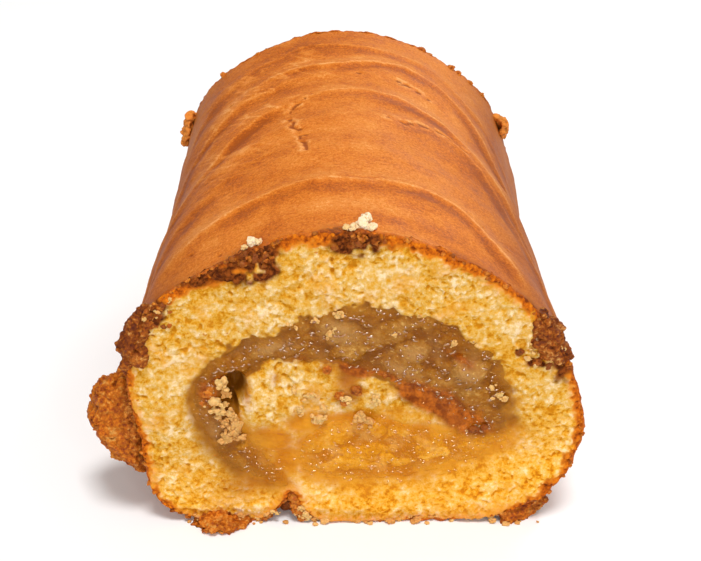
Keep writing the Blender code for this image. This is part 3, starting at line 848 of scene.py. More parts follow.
# %% Pieces of fruit
FRUIT = [(-3.5, 56.5, 5.6, 4.2, -20, 1.0, 0.8), (5, 55.5, 5.5, 3.6, 10, 0.8, 0.6), (0.5, 51.3, 6, 2.3, 8, 0.9, 0.75),
         (10.2, 56.8, 5, 2.4, 35, 0.8, 0.7), (5.4, 61.5, 4.5, 3.0, 0, 0.5, 0.35), (10, 63.4, 5, 1.8, -10, 0.6, 0.55),
         (16, 59.5, 4.8, 3, -20, 0.7, 0.6), (13.9, 51, 4.5, 3.5, 10, 0.8, 0.75), (11.8, 45.8, 6.5, 3, -25, 0.6, 0.6),
         (27.6, 45.6, 4.7, 4.3, 20, 3.0, 0.9), (21.5, 41.8, 5.2, 3.0, -30, 0.7, 0.6), (30, 38.8, 4.8, 3.6, -20, 0.8, 0.65),
         (21.6, 47.4, 1.8, 1.8, 0, 0.7, 0.4), (-12.5, 54.2, 4.6, 3, 0, 0.5, 0.25), (-13.1, 58.4, 4, 2.4, 10, 0.6, 0.5),
         (-12.5, 50.6, 5, 2.2, 5, 0.7, 0.45), (-20.5, 52, 5, 3.6, 25, 0.8, 0.5), (-28.6, 46.9, 5.2, 2.9, 28, 1.2, 0.5),
         (-37, 25.5, 3.4, 4.4, -20, 0.5, 0.35), (-33.6, 22, 3, 2.6, 30, 0.5, 0.6), (-27.4, 24.2, 2.6, 1.6, 35, 1.0, 0.45),
         (-38, 33, 3, 4, 10, 0.5, 0.4), (-36.4, 39.5, 2.6, 3.4, 0, 0.6, 0.45), (-31.5, 18.6, 4, 2.4, -20, 0.5, 0.65),
         (-33.5, 45, 2.8, 3, 30, 0.6, 0.3), (34.4, 44, 2.2, 5, 15, 0.4, 0.15), (32.4, 32.5, 4, 2.6, -30, 0.5, 0.45),
         (22.8, 53.6, 4.4, 2.4, -25, 0.6, 0.4), (29, 51.2, 4, 2, -40, 0.4, 0.25), (-0.5, 62.2, 3.5, 2, 20, 0.4, 0.3),
         (-9.5, 28.2, 6.5, 3, 10, 0.7, 0.7), (-3.6, 28.6, 3.2, 2.6, 0, 0.6, 0.6), (-11.5, 24, 6.5, 1.8, 18, 0.5, 0.5),
         (11.4, 28.4, 3, 2.2, 10, 0.6, 0.7), (18.4, 24.5, 4.5, 2, -10, 0.5, 0.5), (25.7, 26.4, 5, 2.6, 20, 0.5, 0.2),
         (20.5, 21.4, 3, 1.6, 5, 0.6, 0.9), (2.1, 22.3, 7, 2.0, 4, 0.5, 0.45), (-2, 18.4, 7, 1.5, 2, 0.4, 0.6),
         (31, 25, 4, 2.4, 30, 0.4, 0.35), (4, 29.6, 3.6, 2.4, -20, 0.5, 0.4), (11, 19.6, 5, 1.4, 0, 0.4, 0.7)]


def fruit_relief(p, pieces, seed):
    """Height and tone of a heap of soft pieces, and how near each point is to a gap between them."""
    q = p + np.stack([waves(p, 3.6, seed, 3), waves(p, 3.6, seed + 1, 3)], axis=1) * 1.5
    height = np.full(len(p), -0.35)
    tone = np.full(len(p), 0.0)
    core = np.zeros(len(p))
    for x, z, wide, tall, lean, rise, shade in pieces:
        lean = math.radians(lean)
        u = ((q[:, 0] - x) * math.cos(lean) + (q[:, 1] - z) * math.sin(lean)) / wide
        v = (-(q[:, 0] - x) * math.sin(lean) + (q[:, 1] - z) * math.cos(lean)) / tall
        reach = np.sqrt(u * u + v * v)
        dome = 0.85 * rise * np.clip(1 - reach ** 2.6, -0.5, 1) - 0.1
        over = ease(dome - height, -0.06, 0.14) * (reach < 1.15)
        height = np.where(over > 0, np.maximum(height, dome), height)
        tone = tone * (1 - over) + shade * over
        core = core * (1 - over) + ease(1 - reach, -0.02, 0.32) * over
    return height, tone, 1 - core


def fruit_at_random(seed, count):
    """Pieces to fill the whole of the filling."""
    luck = np.random.default_rng(seed)
    low_x, low_z = apple_ring.min(axis=0)
    high_x, high_z = apple_ring.max(axis=0)
    return [(luck.uniform(low_x, high_x), luck.uniform(low_z, high_z), luck.uniform(2.5, 6), luck.uniform(1.8, 3.8),
             luck.uniform(-40, 40), luck.uniform(0.4, 1.2), luck.uniform(0.15, 0.85)) for _ in range(count)]


print("pieces laid at the front:", len(FRUIT))

# %% Relief of the apple
def apple_sheet(name, sign, seed, pitch, pieces):
    low_x, high_x = apple_ring[:, 0].min(), apple_ring[:, 0].max()
    xs = np.arange(low_x - 3, high_x + 3, pitch)
    zs = np.arange(apple_ring[:, 1].min() - 3, apple_ring[:, 1].max() + 3, pitch)
    x, z = [a.ravel() for a in np.meshgrid(xs, zs, indexing="ij")]
    inside = look_up(depth_apple, x, z)
    wrap = look_up(depth_wrap, x, z)
    p = np.stack([x, z], axis=1)
    golden = lowness(x, z)
    height, tone, gully = fruit_relief(p, pieces, seed)
    edge = ragged(x, z, inside, 100 if sign < 0 else 300)
    height = blur(height.reshape(len(xs), len(zs)), 0.28 / pitch).ravel() * (1 - 0.6 * golden) * (0.3 + 0.7 * ease(edge, -0.5, 2.2))
    height += swell(p) - 0.05 + 0.15 * golden
    height += waves(p, 2.6, seed + 12, 2) * 0.12
    wrinkle = np.abs(waves(p * (0.45, 1.3) + waves(p, 6, seed + 3)[:, None] * 0.8, 1.5, seed + 4))
    height += 0.10 * (1 - wrinkle) * (0.4 + 0.2 * golden)
    near, crease, number = lumps(p + np.stack([waves(p, 1.6, seed + 7), waves(p, 1.6, seed + 6)], axis=1) * 0.5, 1.3, seed + 9)
    pulp = np.clip(1 - (near / 0.9) ** 2, -0.5, 1) * number
    height += (0.15 * pulp + waves(p, 0.9, seed + 5) * 0.07) * (1 - 0.6 * golden)
    height -= 1.2 * ease(-edge, 0.6, 2.0)
    # the gap at the core: sunk deep, and painted dark as painted shade
    gap = cave(x, z) * (1 if sign < 0 else 0.4)
    height -= 5.5 * gap
    stain = band(p, wrap, edge, (100 if sign < 0 else 300) + 30)
    for at_x, at_z, wide, tall, lean, amount in [(19, 37.6, 9, 2.2, -0.48, 1.0), (29.5, 30.6, 4.5, 2.6, -0.5, 1.0),
                                                 (6, 43.6, 7, 1.8, -0.25, 0.7), (-8, 46.8, 5, 1.3, 0, 0.5),
                                                 (-35.5, 39.6, 2.2, 3.2, 0, 0.8), (-33, 43.4, 3, 1.2, 0.6, 0.5),
                                                 (25.2, 49.5, 4.5, 1.4, -0.5, 0.5)]:
        stain = np.maximum(stain, amount * spot(x, z, at_x, at_z, wide, tall, lean))
    glassy = np.zeros(len(x))
    for at_x, at_z, wide, tall, lean in [(27.2, 45.6, 4.4, 4.2, 0.3), (-3.5, 56.5, 5.2, 3.8, -0.35), (14, 51, 3.6, 2.8, 0.2),
                                         (11, 46, 5.5, 2.2, -0.4), (-20, 52, 4.5, 2.4, 0.4), (-35, 27, 3.2, 6, -0.3)]:
        glassy = np.maximum(glassy, spot(x, z, at_x, at_z, wide, tall, lean) * (1 if sign < 0 else 0.5))
    marks = {"tone": tone, "glassy": glassy, "golden": golden, "stain": np.clip(stain + 0.25 * waves(p, 2.5, seed + 11) * stain, 0, 1),
             "edge": np.exp(-np.maximum(edge, 0) / 1.6), "gap": np.clip(gap * 1.6, 0, 1), "gully": gully * (1 - 0.7 * golden), "pulp": np.clip(pulp, 0, 1)}
    relief_sheet(name, sign, xs, zs, (inside > -3.2) & (edge > -2.0), x, z, height, marks, apple_material, "filling")


# %% [markdown]
# Apple lets light far in, so most of its colour comes from under the surface, and a clear wet coat
# lies on top. Fine threads in the bump give small glints, and the same threads are painted paler:
# partly the fruit's lighter fibres, partly painted glints.

# %% Apple material and both ends
r = Recipe("cooked_apple", Subsurface_Weight=0.2, Subsurface_Scale=0.0012, Subsurface_Radius=(1.0, 0.5, 0.18),
           IOR=1.45, Specular_IOR_Level=0.15)
cloud = r.grain(4.5, 3, 0.6)
fibre = r.grain(0.9, 3, 0.65)
strand = r.grain(1.3, 3, 0.6, stretch=(0.5, 1.0, 1.2))
thread = r.grain(0.7, 2, 0.55, stretch=(0.6, 1.0, 1.1))
level = r.read("tone") * 0.85 + (cloud - 0.5) * 1.0 + (strand - 0.5) * 0.8 + (fibre - 0.5) * 0.9
level = level - r.read("gully") * 0.30 + (r.read("pulp") - 0.3) * 0.25
dark = r.node("ValToRGB", {"stops": [(0.0, (0.215, 0.060, 0.001)), (0.2, (0.265, 0.080, 0.001)), (0.45, (0.315, 0.110, 0.005)),
                                     (0.7, (0.38, 0.160, 0.020)), (0.9, (0.50, 0.25, 0.05)), (1.0, (0.66, 0.38, 0.10))]}, {0: level})
golden = r.node("ValToRGB", {"stops": [(0.0, (0.48, 0.15, 0.001)), (0.2, (0.57, 0.20, 0.001)), (0.45, (0.66, 0.26, 0.004)),
                                       (0.7, (0.74, 0.33, 0.02)), (1.0, (0.86, 0.49, 0.10))]}, {0: level})
colour = r.mix(dark, golden, r.read("golden"))
colour = r.mix(colour, (0.42, 0.205, 0.055), (r.read("glassy") * 0.75).span(0, 1) + r.grain(5.5, 2).span(0.50, 0.7, 0, 0.25) * (1 - r.read("golden")))
colour = r.mix(colour, (0.72, 0.36, 0.08), r.grain(4.0, 2).span(0.5, 0.7, 0, 0.5) * r.read("golden"))
colour = r.mix(colour, juice(r, r.read("golden")), r.read("edge"))
colour = r.mix(colour, scorched(r), r.read("stain").span(0.05, 0.6))
# pale threads: partly the fruit's lighter fibres, partly painted glints
line = thread.span(0.60, 0.70) * fibre.span(0.45, 0.6)
colour = r.mix(colour, (0.72, 0.42, 0.12), line * 0.6)
# painted shade: the gap at the core darkened
colour = r.mix(colour, (0.26, 0.085, 0.004), r.read("gap"))
apple_material = r.finish(colour, rough=fibre.span(0.3, 0.7, 0.10, 0.28), height=fibre * 0.6 + thread * 0.4,
                          bump_mm=0.6, strength=1.0)
apple_sheet("front_apple", -1, 500, 0.3, FRUIT)
apple_sheet("back_apple", 1, 700, 0.34, fruit_at_random(41, 70))

# %% What lies outermost at each end
def sheet_tree(names):
    """The cut's surfaces together, for setting small things down on them."""
    points, faces, start = [], [], 0
    for name in names:
        mesh = bpy.data.objects[name].data
        points += [v.co / MM for v in mesh.vertices]
        faces += [[start + i for i in p.vertices] for p in mesh.polygons]
        start = len(points)
    return BVHTree.FromPolygons(points, faces)


surface_trees = {-1: sheet_tree(("front_cut", "front_apple")), 1: sheet_tree(("back_cut", "back_apple"))}
print("surfaces ready for crumbs")

# %% [markdown]
# ## Knobs of crust
# Where the sheet's edges caught in the oven, rough browned crust stands out at the ends of the roll.
# Each solid is given an even fine skin of faces, then grown into granules; the clefts between them
# are darkened as painted shade.

# %% Growing granules on a solid
def granular(node, seed, grain_mm, bite, shrink, shift):
    """Points, faces and marks of a crust solid with granules on it."""
    twin = bpy.data.objects.new("twin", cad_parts[node].data.copy())
    bpy.context.scene.collection.objects.link(twin)
    modifier = twin.modifiers.new("even", "REMESH")
    modifier.mode = "VOXEL"
    modifier.voxel_size = 0.33 * MM
    mesh = bpy.data.meshes.new_from_object(twin.evaluated_get(bpy.context.evaluated_depsgraph_get()))
    bpy.data.objects.remove(twin)
    points = np.empty(len(mesh.vertices) * 3)
    normals = np.empty(len(mesh.vertices) * 3)
    faces = np.empty(len(mesh.loops), np.int32)
    mesh.vertices.foreach_get("co", points)
    mesh.vertices.foreach_get("normal", normals)
    mesh.loops.foreach_get("vertex_index", faces)
    bpy.data.meshes.remove(mesh)
    points, normals, faces = points.reshape(-1, 3) / MM, normals.reshape(-1, 3), faces.reshape(-1, 4)
    centre = (points.min(axis=0) + points.max(axis=0)) / 2
    points = centre + (points - centre) * shrink + shift
    if node == "crust_left":
        points[:, 0] += 5.5 * (1 - ease(points[:, 2], 10, 27)) - 0.8 * ease(points[:, 2], 28, 38)
    points = points + np.stack([waves(points, 6, seed + 10 + k, 2) for k in range(3)], axis=1) * 1.5
    q = points + np.stack([waves(points, 2.5, seed + k) for k in range(3)], axis=1) * 0.6
    near, crease, number = lumps(q, grain_mm, seed + 3)
    big_near, big_crease, big_number = lumps(q, grain_mm * 2.6, seed + 4)
    small = np.clip(1 - (near / (0.75 * grain_mm)) ** 2, -0.4, 1) * (0.4 + number)
    large = np.clip(1 - (big_near / (1.9 * grain_mm)) ** 2, -0.5, 1) * (0.4 + big_number)
    holes = dents(q, grain_mm * 1.9, seed + 5, 0.5, 0.3, 0.9)
    rise = 0.42 * small + 0.50 * large + waves(q, 2.6, seed + 6, 3) * 0.75 - holes * bite + waves(q, 0.7, seed + 7, 2) * 0.3
    points = points + normals * rise[:, None]
    points[:, 2] = np.maximum(points[:, 2], 0.06)
    # the clefts between granules, darkened in colour as painted shade
    cleft = np.clip(0.9 * holes + 0.7 * (1 - ease(big_crease, 0, 0.9)) - 0.2, 0, 1)
    return points, faces, {"cleft": cleft, "bright": number, "high": np.clip(large, 0, 1)}


r = Recipe("rough_crust", Subsurface_Weight=0.06, Subsurface_Scale=0.0015, Specular_IOR_Level=0.18)
cloud = r.grain(5, 3, 0.6)
fleck = r.grain(0.9, 3, 0.65)
level = 0.56 + (cloud - 0.5) * 0.9 + (fleck - 0.5) * 1.8 + (r.read("bright") - 0.5) * 0.35
light = r.node("ValToRGB", {"stops": [(0.0, (0.14, 0.018, 0.001)), (0.28, (0.34, 0.062, 0.002)), (0.5, (0.51, 0.122, 0.003)),
                                      (0.72, (0.64, 0.19, 0.012)), (1.0, (0.74, 0.34, 0.07))]}, {0: level})
burnt = r.node("ValToRGB", {"stops": [(0.0, (0.05, 0.006, 0.001)), (0.28, (0.11, 0.018, 0.001)), (0.5, (0.20, 0.040, 0.001)),
                                      (0.72, (0.34, 0.09, 0.008)), (1.0, (0.66, 0.34, 0.10))]}, {0: level})
colour = r.mix(light, burnt, r.read("burnt"))
colour = r.mix(colour, (0.80, 0.27, 0.04), r.read("golden") * 0.9)
# painted shade in the clefts
colour = r.mix(colour, (0.08, 0.012, 0.001), r.read("cleft") * 0.55)
crust_material = r.finish(colour, rough=fleck.span(0.3, 0.7, 0.45, 0.85), height=fleck, bump_mm=0.5, strength=0.8)
KNOBS = {"crust_left": (901, 0.95, 0.9, 0.0, (1.03, 0.95, 0.96), (0.6, 0, -0.8)),
         "crust_upper_left": (921, 1.0, 1.3, 0.78, (0.85, 0.8, 0.9), (1.2, -0.6, -1.6)),
         "crust_right": (941, 0.9, 1.0, 0.85, (0.85, 0.8, 0.9), (-0.2, 0.0, -0.6)),
         "crust_back_left": (961, 0.95, 0.4, -0.3, (0.6, 0.8, 0.65), (1.9, -0.5, 2.0)),
         "crust_back_right": (981, 0.95, 0.4, -0.3, (0.6, 0.8, 0.65), (-1.9, -0.5, 2.0)),
         "crust_foot_left": (1001, 0.9, 1.2, 0.0, (0.95, 0.85, 0.5), (0.6, 0.8, -1.2)),
         "crust_foot_right": (1021, 0.95, 1.0, 0.15, (0.95, 0.9, 0.7), (-1.6, 0.6, -0.8))}
for node, (seed, grain_mm, bite, burnt, shrink, shift) in KNOBS.items():
    points, faces, marks = granular(node, seed, grain_mm, bite, shrink, shift)
    drift = waves(points, 7, seed + 9) * 0.35
    if node == "crust_left":
        drift += 0.45 * ease(points[:, 0], -58.5, -54.5)
    marks["burnt"] = np.clip(burnt + drift * (0.4 if "upper" in node else 1), 0, 1)
    marks["golden"] = np.full(len(points), 1.0 if "back" in node else 0.0)
    knob = make_piece(node.replace("crust", "knob"), points, faces, crust_material, marks)
    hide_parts(node)

# %% [markdown]
# ## Loose crumbs
# Small torn crumbs lie where the sheet starts to roll, hang from the edge above the apple, and sit
# on the rim. Each is a little knobbly ball pushed about by the same noise, true to size. All the
# crumbs of a kind are one piece.

# %% One crumb
def ball(levels):
    """Points and faces of an even ball."""
    bm = bmesh.new()
    bmesh.ops.create_icosphere(bm, subdivisions=levels, radius=1.0)
    points = np.array([v.co[:] for v in bm.verts])
    faces = np.array([[v.index for v in f.verts] for f in bm.faces])
    bm.free()
    return points, faces


BALLS = {n: ball(n) for n in (2, 3, 4)}


def crumb(place, size, seed, knobbly=0.5, levels=None):
    """A torn crumb: size is its full width, depth and height in millimetres."""
    size = np.array(size, float)
    levels = levels or (4 if size.max() > 1.5 else 3 if size.max() > 0.9 else 2)
    points, faces = BALLS[levels]
    luck = np.random.default_rng(seed)
    turn = np.linalg.qr(luck.normal(size=(3, 3)))[0]
    q = points @ turn * size.max() / 2 + luck.uniform(-50, 50, 3)
    unit = size.max()
    number = scramble(*np.floor(q / 0.6).astype(int).T, seed=seed)
    rise = knobbly * (0.26 * unit * waves(q, 0.5 * unit, seed + 1, 3) + 0.30 * waves(q, 0.6, seed + 3, 2) * min(unit / 2, 1)
                      + 0.16 * waves(q, 0.33, seed + 5) * min(unit / 3, 1))
    grown = points * np.maximum(1 + rise * 2 / unit, 0.25)[:, None] * size / 2
    lean = luck.uniform(-0.6, 0.6)
    c, s = math.cos(lean), math.sin(lean)
    grown = grown @ np.array([[c, 0, s], [0, 1, 0], [-s, 0, c]])
    # the third value marks the low places, which are darkened as painted shade
    return grown + place, faces, np.clip(0.5 - 1.2 * rise / size.mean(), 0, 1), number


def heap(name, crumbs, material, tones):
    """All the crumbs of a kind as one piece."""
    points, faces, marks, start = [], [], {"cleft": [], "bright": [], "tint": []}, 0
    for (p, f, cleft, bright), tint in zip(crumbs, tones):
        points.append(p)
        faces.append(f + start)
        start += len(p)
        marks["cleft"].append(cleft)
        marks["bright"].append(bright)
        marks["tint"].append(np.full(len(p), tint))
    points = np.vstack(points)
    points[:, 2] = np.maximum(points[:, 2], 0.06)
    piece = make_piece(name, points, np.vstack(faces), material, {k: np.concatenate(v) for k, v in marks.items()})
    print(name, len(crumbs), "of them,", len(piece.data.polygons), "faces")
    return piece


print("a ball of", len(BALLS[4][1]), "faces makes a large crumb")

# %% [markdown]
# Pale crumbs are bits of the sponge itself. Those at the core are soaked in places, which tints them
# towards brown; tint 0 is dry and pale, 1 is wet.

# %% Pale crumbs
PALE = [(-32.2, 42.4, 3.4, 3.0, 0.1), (-31.2, 40.0, 2.4, 3.0, 0.7), (-34.1, 37.3, 3.6, 3.0, 0.0), (-33.0, 34.6, 3.6, 2.6, 0.1),
        (-31.4, 36.6, 2.0, 1.8, 0.5), (-30.2, 34.0, 2.8, 3.2, 0.4), (-31.6, 31.4, 2.6, 2.4, 0.6), (-28.9, 30.8, 3.0, 3.4, 0.5),
        (-29.8, 28.2, 4.2, 3.2, 0.45), (-31.2, 26.6, 3.4, 3.0, 0.55), (-28.6, 26.9, 2.4, 2.2, 0.6),
        (-13.5, 34.8, 2.4, 2.6, 0.3), (-8.4, 32.6, 3.0, 2.6, 0.2), (-7.6, 35.2, 1.9, 2.8, 0.15), (-9.6, 31.5, 2.0, 1.6, 0.4),
        (-10.6, 39.0, 2.8, 2.2, 0.2), (-14.6, 40.4, 1.4, 2.2, 0.2), (-1.9, 38.0, 2.4, 2.0, 0.0), (5.2, 37.6, 2.2, 3.4, 0.05),
        (1.6, 32.8, 3.2, 3.2, 0.45), (3.6, 31.6, 2.6, 2.4, 0.5), (23.7, 54.0, 1.9, 2.0, 0.35), (33.1, 41.4, 1.6, 1.6, 0.1), (44.6, 51.6, 2.4, 2.0, 0.0),
        (41.2, 49.8, 1.8, 1.4, 0.1), (43.2, 47.6, 1.6, 1.4, 0.2), (49.2, 52.6, 1.8, 2.0, 0.0), (42.8, 53.6, 2.2, 1.8, 0.0),
        (46.4, 49.0, 1.4, 1.4, 0.0), (-49.0, 60.6, 1.6, 1.6, 0.3), (-46.0, 62.4, 2.0, 1.6, 0.2), (-43.0, 66.0, 1.4, 1.4, 0.1),
        (34.9, 39.2, 2.2, 1.6, 0.1), (36.4, 38.2, 1.8, 1.8, 0.1), (-3.9, 62.0, 2.2, 2.4, 0.2), (-9.0, 60.4, 1.6, 1.2, 0.2),
        (-13.8, 58.2, 1.0, 1.4, 0.2), (-15.6, 59.4, 1.4, 1.2, 0.2), (-13.4, 4.6, 2.2, 2.2, 0.1), (-12.6, 3.0, 2.2, 2.2, 0.0),
        (-11.8, 1.5, 2.0, 1.8, 0.1), (-13.9, 2.4, 1.3, 1.4, 0.2), (-20.9, 3.7, 1.8, 1.0, 0.0), (-19.7, 3.2, 1.4, 1.2, 0.1), (9.4, 56.4, 1.8, 1.2, 0.3), (15.2, 61.6, 1.4, 1.0, 0.3),
        (-5.9, 56.6, 1.6, 2.4, 0.3), (-4.6, 58.0, 1.0, 1.2, 0.3), (-20.5, 38.6, 1.2, 1.0, 0.6)]
crumbs = []
tones = []
luck = np.random.default_rng(76)
for k, (x, z, wide, tall, tint) in enumerate(PALE):
    for part in range(11 if wide > 2.1 else 5):
        step = luck.normal(size=2) * (wide, tall) * 0.29 * (part > 0)
        size = np.array([wide, max(wide, 2) * 0.7, tall]) * (0.78 if part == 0 else luck.uniform(0.22, 0.48))
        out = 0.5 if part == 0 else 0.4 + 0.3 * wide * luck.random()
        crumbs.append(crumb((x + step[0], FRONT - out, z + step[1]), size, 2000 + 11 * k + part, 1.0, 3 if part == 0 else 2))
        tones.append(max(tint + luck.uniform(-0.1, 0.1), 0.0))


def on_skin(round_mm, along_mm):
    """A place on the skin and the way out of it there."""
    column = int(np.argmin(np.abs(around - round_mm)))
    row = int(np.argmin(np.abs(rows_y - FRONT - along_mm)))
    out = Vector((math.cos(angles[column]), 0, math.sin(angles[column])))
    return skin_points[row, column], np.array(out)


ON_RIM = [(1.6, 2.6, 3.2, -0.4), (3.4, 1.8, 2.4, -0.3), (-0.2, 1.2, 2.2, -0.2), (2.4, 4.6, 2.6, -0.4), (-1.8, 0.8, 1.8, -0.1),
          (2.4, 3.4, 2.2, -0.4), (-24.2, 2.2, 2.6, -0.3), (-22.8, 1.4, 1.9, -0.2), (-25.6, 1.2, 1.6, -0.1), (-2.8, 0.9, 1.2, 0.2)]
for k, (s0, y0, size, tint) in enumerate(ON_RIM):
    place, out = on_skin(s0, y0)
    size = size * 0.9
    lift = size * 0.34 + (1.8 if k == 5 else 0)
    crumbs.append(crumb(place + out * lift, (size * 1.1, size, size * 0.9), 2600 + 13 * k, 0.8))
    tones.append(tint)
luck = np.random.default_rng(77)
front_edge = spaced(skin_points[0][:, ::2], 0.5, 0.5)
for k in range(95):
    x = luck.uniform(-44, 50)
    size = luck.uniform(0.5, 1.6) * (1.0 if luck.random() < 0.85 else 1.5)
    loose = luck.random() < 0.3
    y, z = (FRONT - luck.uniform(0.0, 1.6), size * 0.4) if loose else (FRONT + 0.2, luck.uniform(0.1, 2.4))
    if not loose and float(look_up(depth_in[-1], np.array([x]), np.array([z]))[0]) < -0.6:
        continue
    crumbs.append(crumb((x, y, z), (size * 1.3, size, size * 0.8), 2800 + 7 * k, 0.9))
    tones.append(luck.uniform(0.1, 0.8))
r = Recipe("torn_crumb", Roughness=0.7, Subsurface_Weight=0.3, Subsurface_Scale=0.001,
           Subsurface_Radius=(1.0, 0.6, 0.3), Specular_IOR_Level=0.12)
fleck = r.grain(0.9, 3, 0.6)
colour = r.mix((0.66, 0.34, 0.09), (0.82, 0.54, 0.22), fleck.span(0.35, 0.65) * 0.6 + r.read("bright") * 0.4)
colour = r.mix(colour, (0.62, 0.285, 0.075), r.read("tint").span(0, 0.8))
colour = r.mix(colour, (0.95, 0.79, 0.56), (0 - r.read("tint")).span(0, 0.4, 0, 0.8))
# painted shade in the crumb's low places
colour = r.mix(colour, (0.40, 0.15, 0.02), r.read("cleft").span(0.50, 0.80, 0, 0.5))
pale_material = r.finish(colour, height=fleck, bump_mm=0.25, strength=0.6)
heap("pale_crumbs", crumbs, pale_material, tones)

# %% [markdown]
# Juice stands on the wet parts in tiny beads and threads; their highlights are what makes cooked
# fruit look wet.

# %% Beads of juice
crumbs = []
tones = []
luck = np.random.default_rng(79)
for k in range(1500):
    x = luck.uniform(-38, 38)
    z = luck.uniform(13, 63)
    one_x, one_z = np.array([x]), np.array([z])
    inside = float(look_up(depth_apple, one_x, one_z)[0])
    low = float(lowness(one_x, one_z)[0])
    if inside < -2.5 or cave(one_x, one_z)[0] > 0.3 or luck.random() > (0.75 if inside > 0.5 else 0.25 * low):
        continue
    size = luck.uniform(0.35, 0.95) * (1 - 0.2 * low)
    for sign in (-1, 1):
        tree = surface_trees[sign]
        hit = tree.ray_cast(Vector((x, sign * 300, z)), Vector((0, -sign, 0)))[0]
        long = 1 + 1.4 * luck.random() ** 2
        crumbs.append(crumb((x, hit.y - sign * size * 0.12, z), (size * long, size * 0.9, size * 0.8), 5000 + 7 * k, 0.1, 2))
        tones.append(low)
r = Recipe("juice_bead", Roughness=0.04, IOR=1.8, Specular_IOR_Level=1.0, Subsurface_Weight=0.2, Subsurface_Scale=0.001)
colour = r.mix((0.31, 0.105, 0.004), (0.64, 0.24, 0.006), r.read("tint"))
heap("juice_beads", crumbs, r.finish(colour), tones)

# %% Brown crumbs along the rim
crumbs = []
tones = []
luck = np.random.default_rng(78)
for k in range(420):
    column = luck.integers(len(front_edge))
    x, z = front_edge[column]
    crowd = 0.25 + 0.9 * float(spot(x, z, -40, 70, 16, 9)) + float(spot(x, z, 50, 52, 6, 12)) + 0.6 * float(spot(x, z, 44, 8, 12, 9))
    crowd += 0.7 * float(spot(x, z, -45, 8, 12, 9)) + 0.5 * float(spot(x, z, -23, 77, 5, 5))
    if luck.random() > crowd:
        continue
    size = luck.uniform(0.4, 1.3)
    hub = np.array([0.0, HUB])
    inwards = (hub - (x, z)) / np.linalg.norm(hub - (x, z))
    x, z = np.array([x, z]) + inwards * luck.uniform(0.0, 1.3)
    crumbs.append(crumb((x, FRONT - luck.uniform(-0.4, 0.2), z), (size * 1.3, size, size), 3000 + 7 * k, 0.8, 2))
    tones.append(luck.uniform(-0.2, 0.8))
for k in range(170):
    at_x, at_z, wide, tall = [(-23.6, 76.4, 5, 3.0), (0.8, 81.2, 4.6, 1.6), (47.2, 52.5, 3.2, 4.6), (-47, 63.5, 5, 4.5)][k % 4]
    x, z = at_x + luck.normal() * wide * 0.5, at_z + luck.normal() * tall * 0.5
    if float(look_up(depth_in[-1], np.array([x]), np.array([z]))[0]) < 0.2:
        continue
    size = luck.uniform(0.5, 1.5)
    crumbs.append(crumb((x, FRONT - 0.1, z), (size * 1.2, size, size), 3500 + 7 * k, 0.9, 2))
    tones.append(luck.uniform(0.2, 1.0))
for k, (x, z, size, tint) in enumerate([(-22.9, 77.0, 2.2, 0.9), (-25.8, 75.4, 1.8, 0.7), (-20.6, 77.4, 1.8, 0.8), (0.5, 80.9, 2.2, 0.8),
                                        (39.4, 51.6, 1.6, 0.9), (43.4, 48.6, 2.0, 0.6),
                                        (45.6, 55.5, 2.4, 1.0), (47.5, 51.0, 2.8, 1.0), (46.4, 47.6, 2.2, 0.8), (44.2, 53.2, 1.6, 0.7),
                                        (0.3, 40.3, 2.6, 0.5), (-3.6, 39.0, 2.0, 0.3), (-2.4, 36.9, 1.6, 0.3), (-6.6, 46.2, 1.8, 0.2),
                                        (-35.9, 39.6, 2.2, 0.2), (-36.6, 36.6, 1.8, 0.2), (29.3, 28.9, 1.8, 0.8), (31.6, 29.6, 1.6, 0.8)]):
    crumbs.append(crumb((x, FRONT - 0.25, z), (size * 1.2, size * 0.8, size), 3900 + 7 * k, 0.8))
    tones.append(tint)
# crumbs at the notch of the seam; the last four sit deep inside it, nearly black, and stand in for the shade there
SEAM_AND_SHADE_PLUG = [(-15.4, 0.6, 7.4, 2.8, 0.3), (-14.8, 0.8, 5.4, 3.2, 0.2), (-14.2, 0.6, 3.2, 3.2, 0.4), (-13.4, 0.8, 1.5, 3.0, 0.3),
        (-16.5, 0.9, 8.4, 2.0, 0.5), (-21.9, 0.7, 1.8, 2.4, 0.5), (-23.0, 0.4, 1.0, 2.0, 0.6), (-17.6, 7.0, 3.0, 6.5, 1.3),
        (-19.4, 8.0, 2.2, 5.5, 1.3), (-15.4, 7.5, 3.0, 6.0, 1.3), (-16.6, 6.5, 6.2, 4.5, 1.3)]
for k, (x, inside, z, size, tint) in enumerate(SEAM_AND_SHADE_PLUG):
    crumbs.append(crumb((x, FRONT + inside, z), (size, size, size), 4000 + 7 * k, 0.8))
    tones.append(tint)
for k, (s0, size) in enumerate([(22, 2.6), (25, 1.8), (33, 2.8), (36.5, 2.0), (41, 2.2), (-44, 2.2), (-31, 1.6), (47, 2.0)]):
    place, out = on_skin(s0, BACK - FRONT - 0.9)
    crumbs.append(crumb(place - out * 0.3, (size * 1.2, size, size * 0.8), 4100 + 7 * k, 0.7))
    tones.append(-0.5)
r = Recipe("brown_crumb", Roughness=0.5, Subsurface_Weight=0.1, Subsurface_Scale=0.001, Specular_IOR_Level=0.18)
fleck = r.grain(0.8, 3, 0.6)
colour = r.mix((0.66, 0.22, 0.018), (0.42, 0.09, 0.003), fleck.span(0.35, 0.65))
colour = r.mix(colour, (0.16, 0.030, 0.002), r.read("tint").span(0, 1, 0, 0.85))
# painted shade in the crumb's low places
colour = r.mix(colour, (0.08, 0.014, 0.001), r.read("cleft").span(0.5, 0.8, 0, 0.6))
brown_material = r.finish(colour, height=fleck, bump_mm=0.25, strength=0.6)
heap("brown_crumbs", crumbs, brown_material, tones)


# %% [markdown]
# ## The studio
# A plain pale floor, a broad soft light overhead, a second one in front to open up the cut face,
# and pale surroundings. The camera looks down on the front cut.

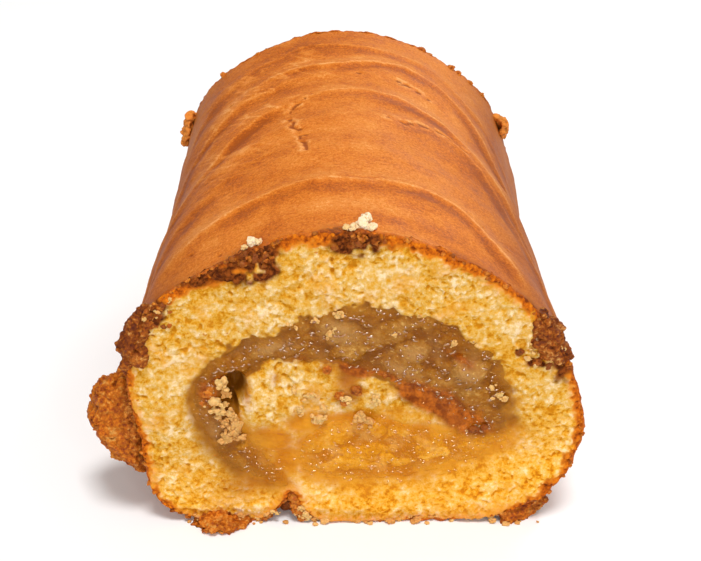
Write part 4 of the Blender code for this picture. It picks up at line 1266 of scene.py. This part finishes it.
# %% Floor, lights and camera
floor_mesh = bpy.data.meshes.new("floor")
floor_mesh.from_pydata([(-4, -4, 0), (4, -4, 0), (4, 4, 0), (-4, 4, 0)], [], [(0, 1, 2, 3)])
floor = bpy.data.objects.new("floor", floor_mesh)
bpy.context.scene.collection.objects.link(floor)
floor_recipe = Recipe("pale_floor", Roughness=0.7)
floor_mesh.materials.append(floor_recipe.finish((0.97, 0.97, 0.97)))

world = bpy.data.worlds.new("surroundings")
bpy.context.scene.world = world
world.use_nodes = True
world.node_tree.nodes["Background"].inputs["Color"].default_value = (1.0, 0.99, 0.97, 1)
world.node_tree.nodes["Background"].inputs["Strength"].default_value = 0.40


def soft_light(name, place, aim, size, watts, colour=(1, 1, 1)):
    data = bpy.data.lights.new(name, "AREA")
    data.shape = "RECTANGLE"
    data.size, data.size_y = size
    data.energy = watts
    data.color = colour
    lamp = bpy.data.objects.new(name, data)
    lamp.location = place
    lamp.rotation_euler = (Vector(aim) - Vector(place)).to_track_quat("-Z", "Y").to_euler()
    bpy.context.scene.collection.objects.link(lamp)


soft_light("overhead", (0.2, -0.85, 2.4), (0, 0, 0.05), (0.7, 0.6), 42.0)
soft_light("front_fill", (0.04, -1.05, 0.36), (0, -0.05, 0.04), (0.45, 0.35), 2.35)

soft_light("sparkle_left", (-0.45, -0.95, 0.42), (0, -0.05, 0.04), (0.05, 0.05), 0.5)
soft_light("sparkle_right", (0.35, -0.95, 0.65), (0, -0.05, 0.04), (0.05, 0.05), 0.5)
soft_light("back_fill", (0.5, 0.95, 0.6), (0, 0.05, 0.04), (0.5, 0.4), 3.0)

camera_data = bpy.data.cameras.new("camera")
camera_data.sensor_width = 36.0
camera_data.lens = 1400 / 701 * 36.0
camera_data.clip_start = 0.01
camera = bpy.data.objects.new("camera", camera_data)
camera.location = (-0.001, (FRONT - 281) * MM, 0.230)
camera.rotation_euler = (math.radians(90 - 29.54), 0, 0)
bpy.context.scene.collection.objects.link(camera)
bpy.context.scene.camera = camera
bpy.context.scene.view_settings.view_transform = "Standard"
print("studio ready")
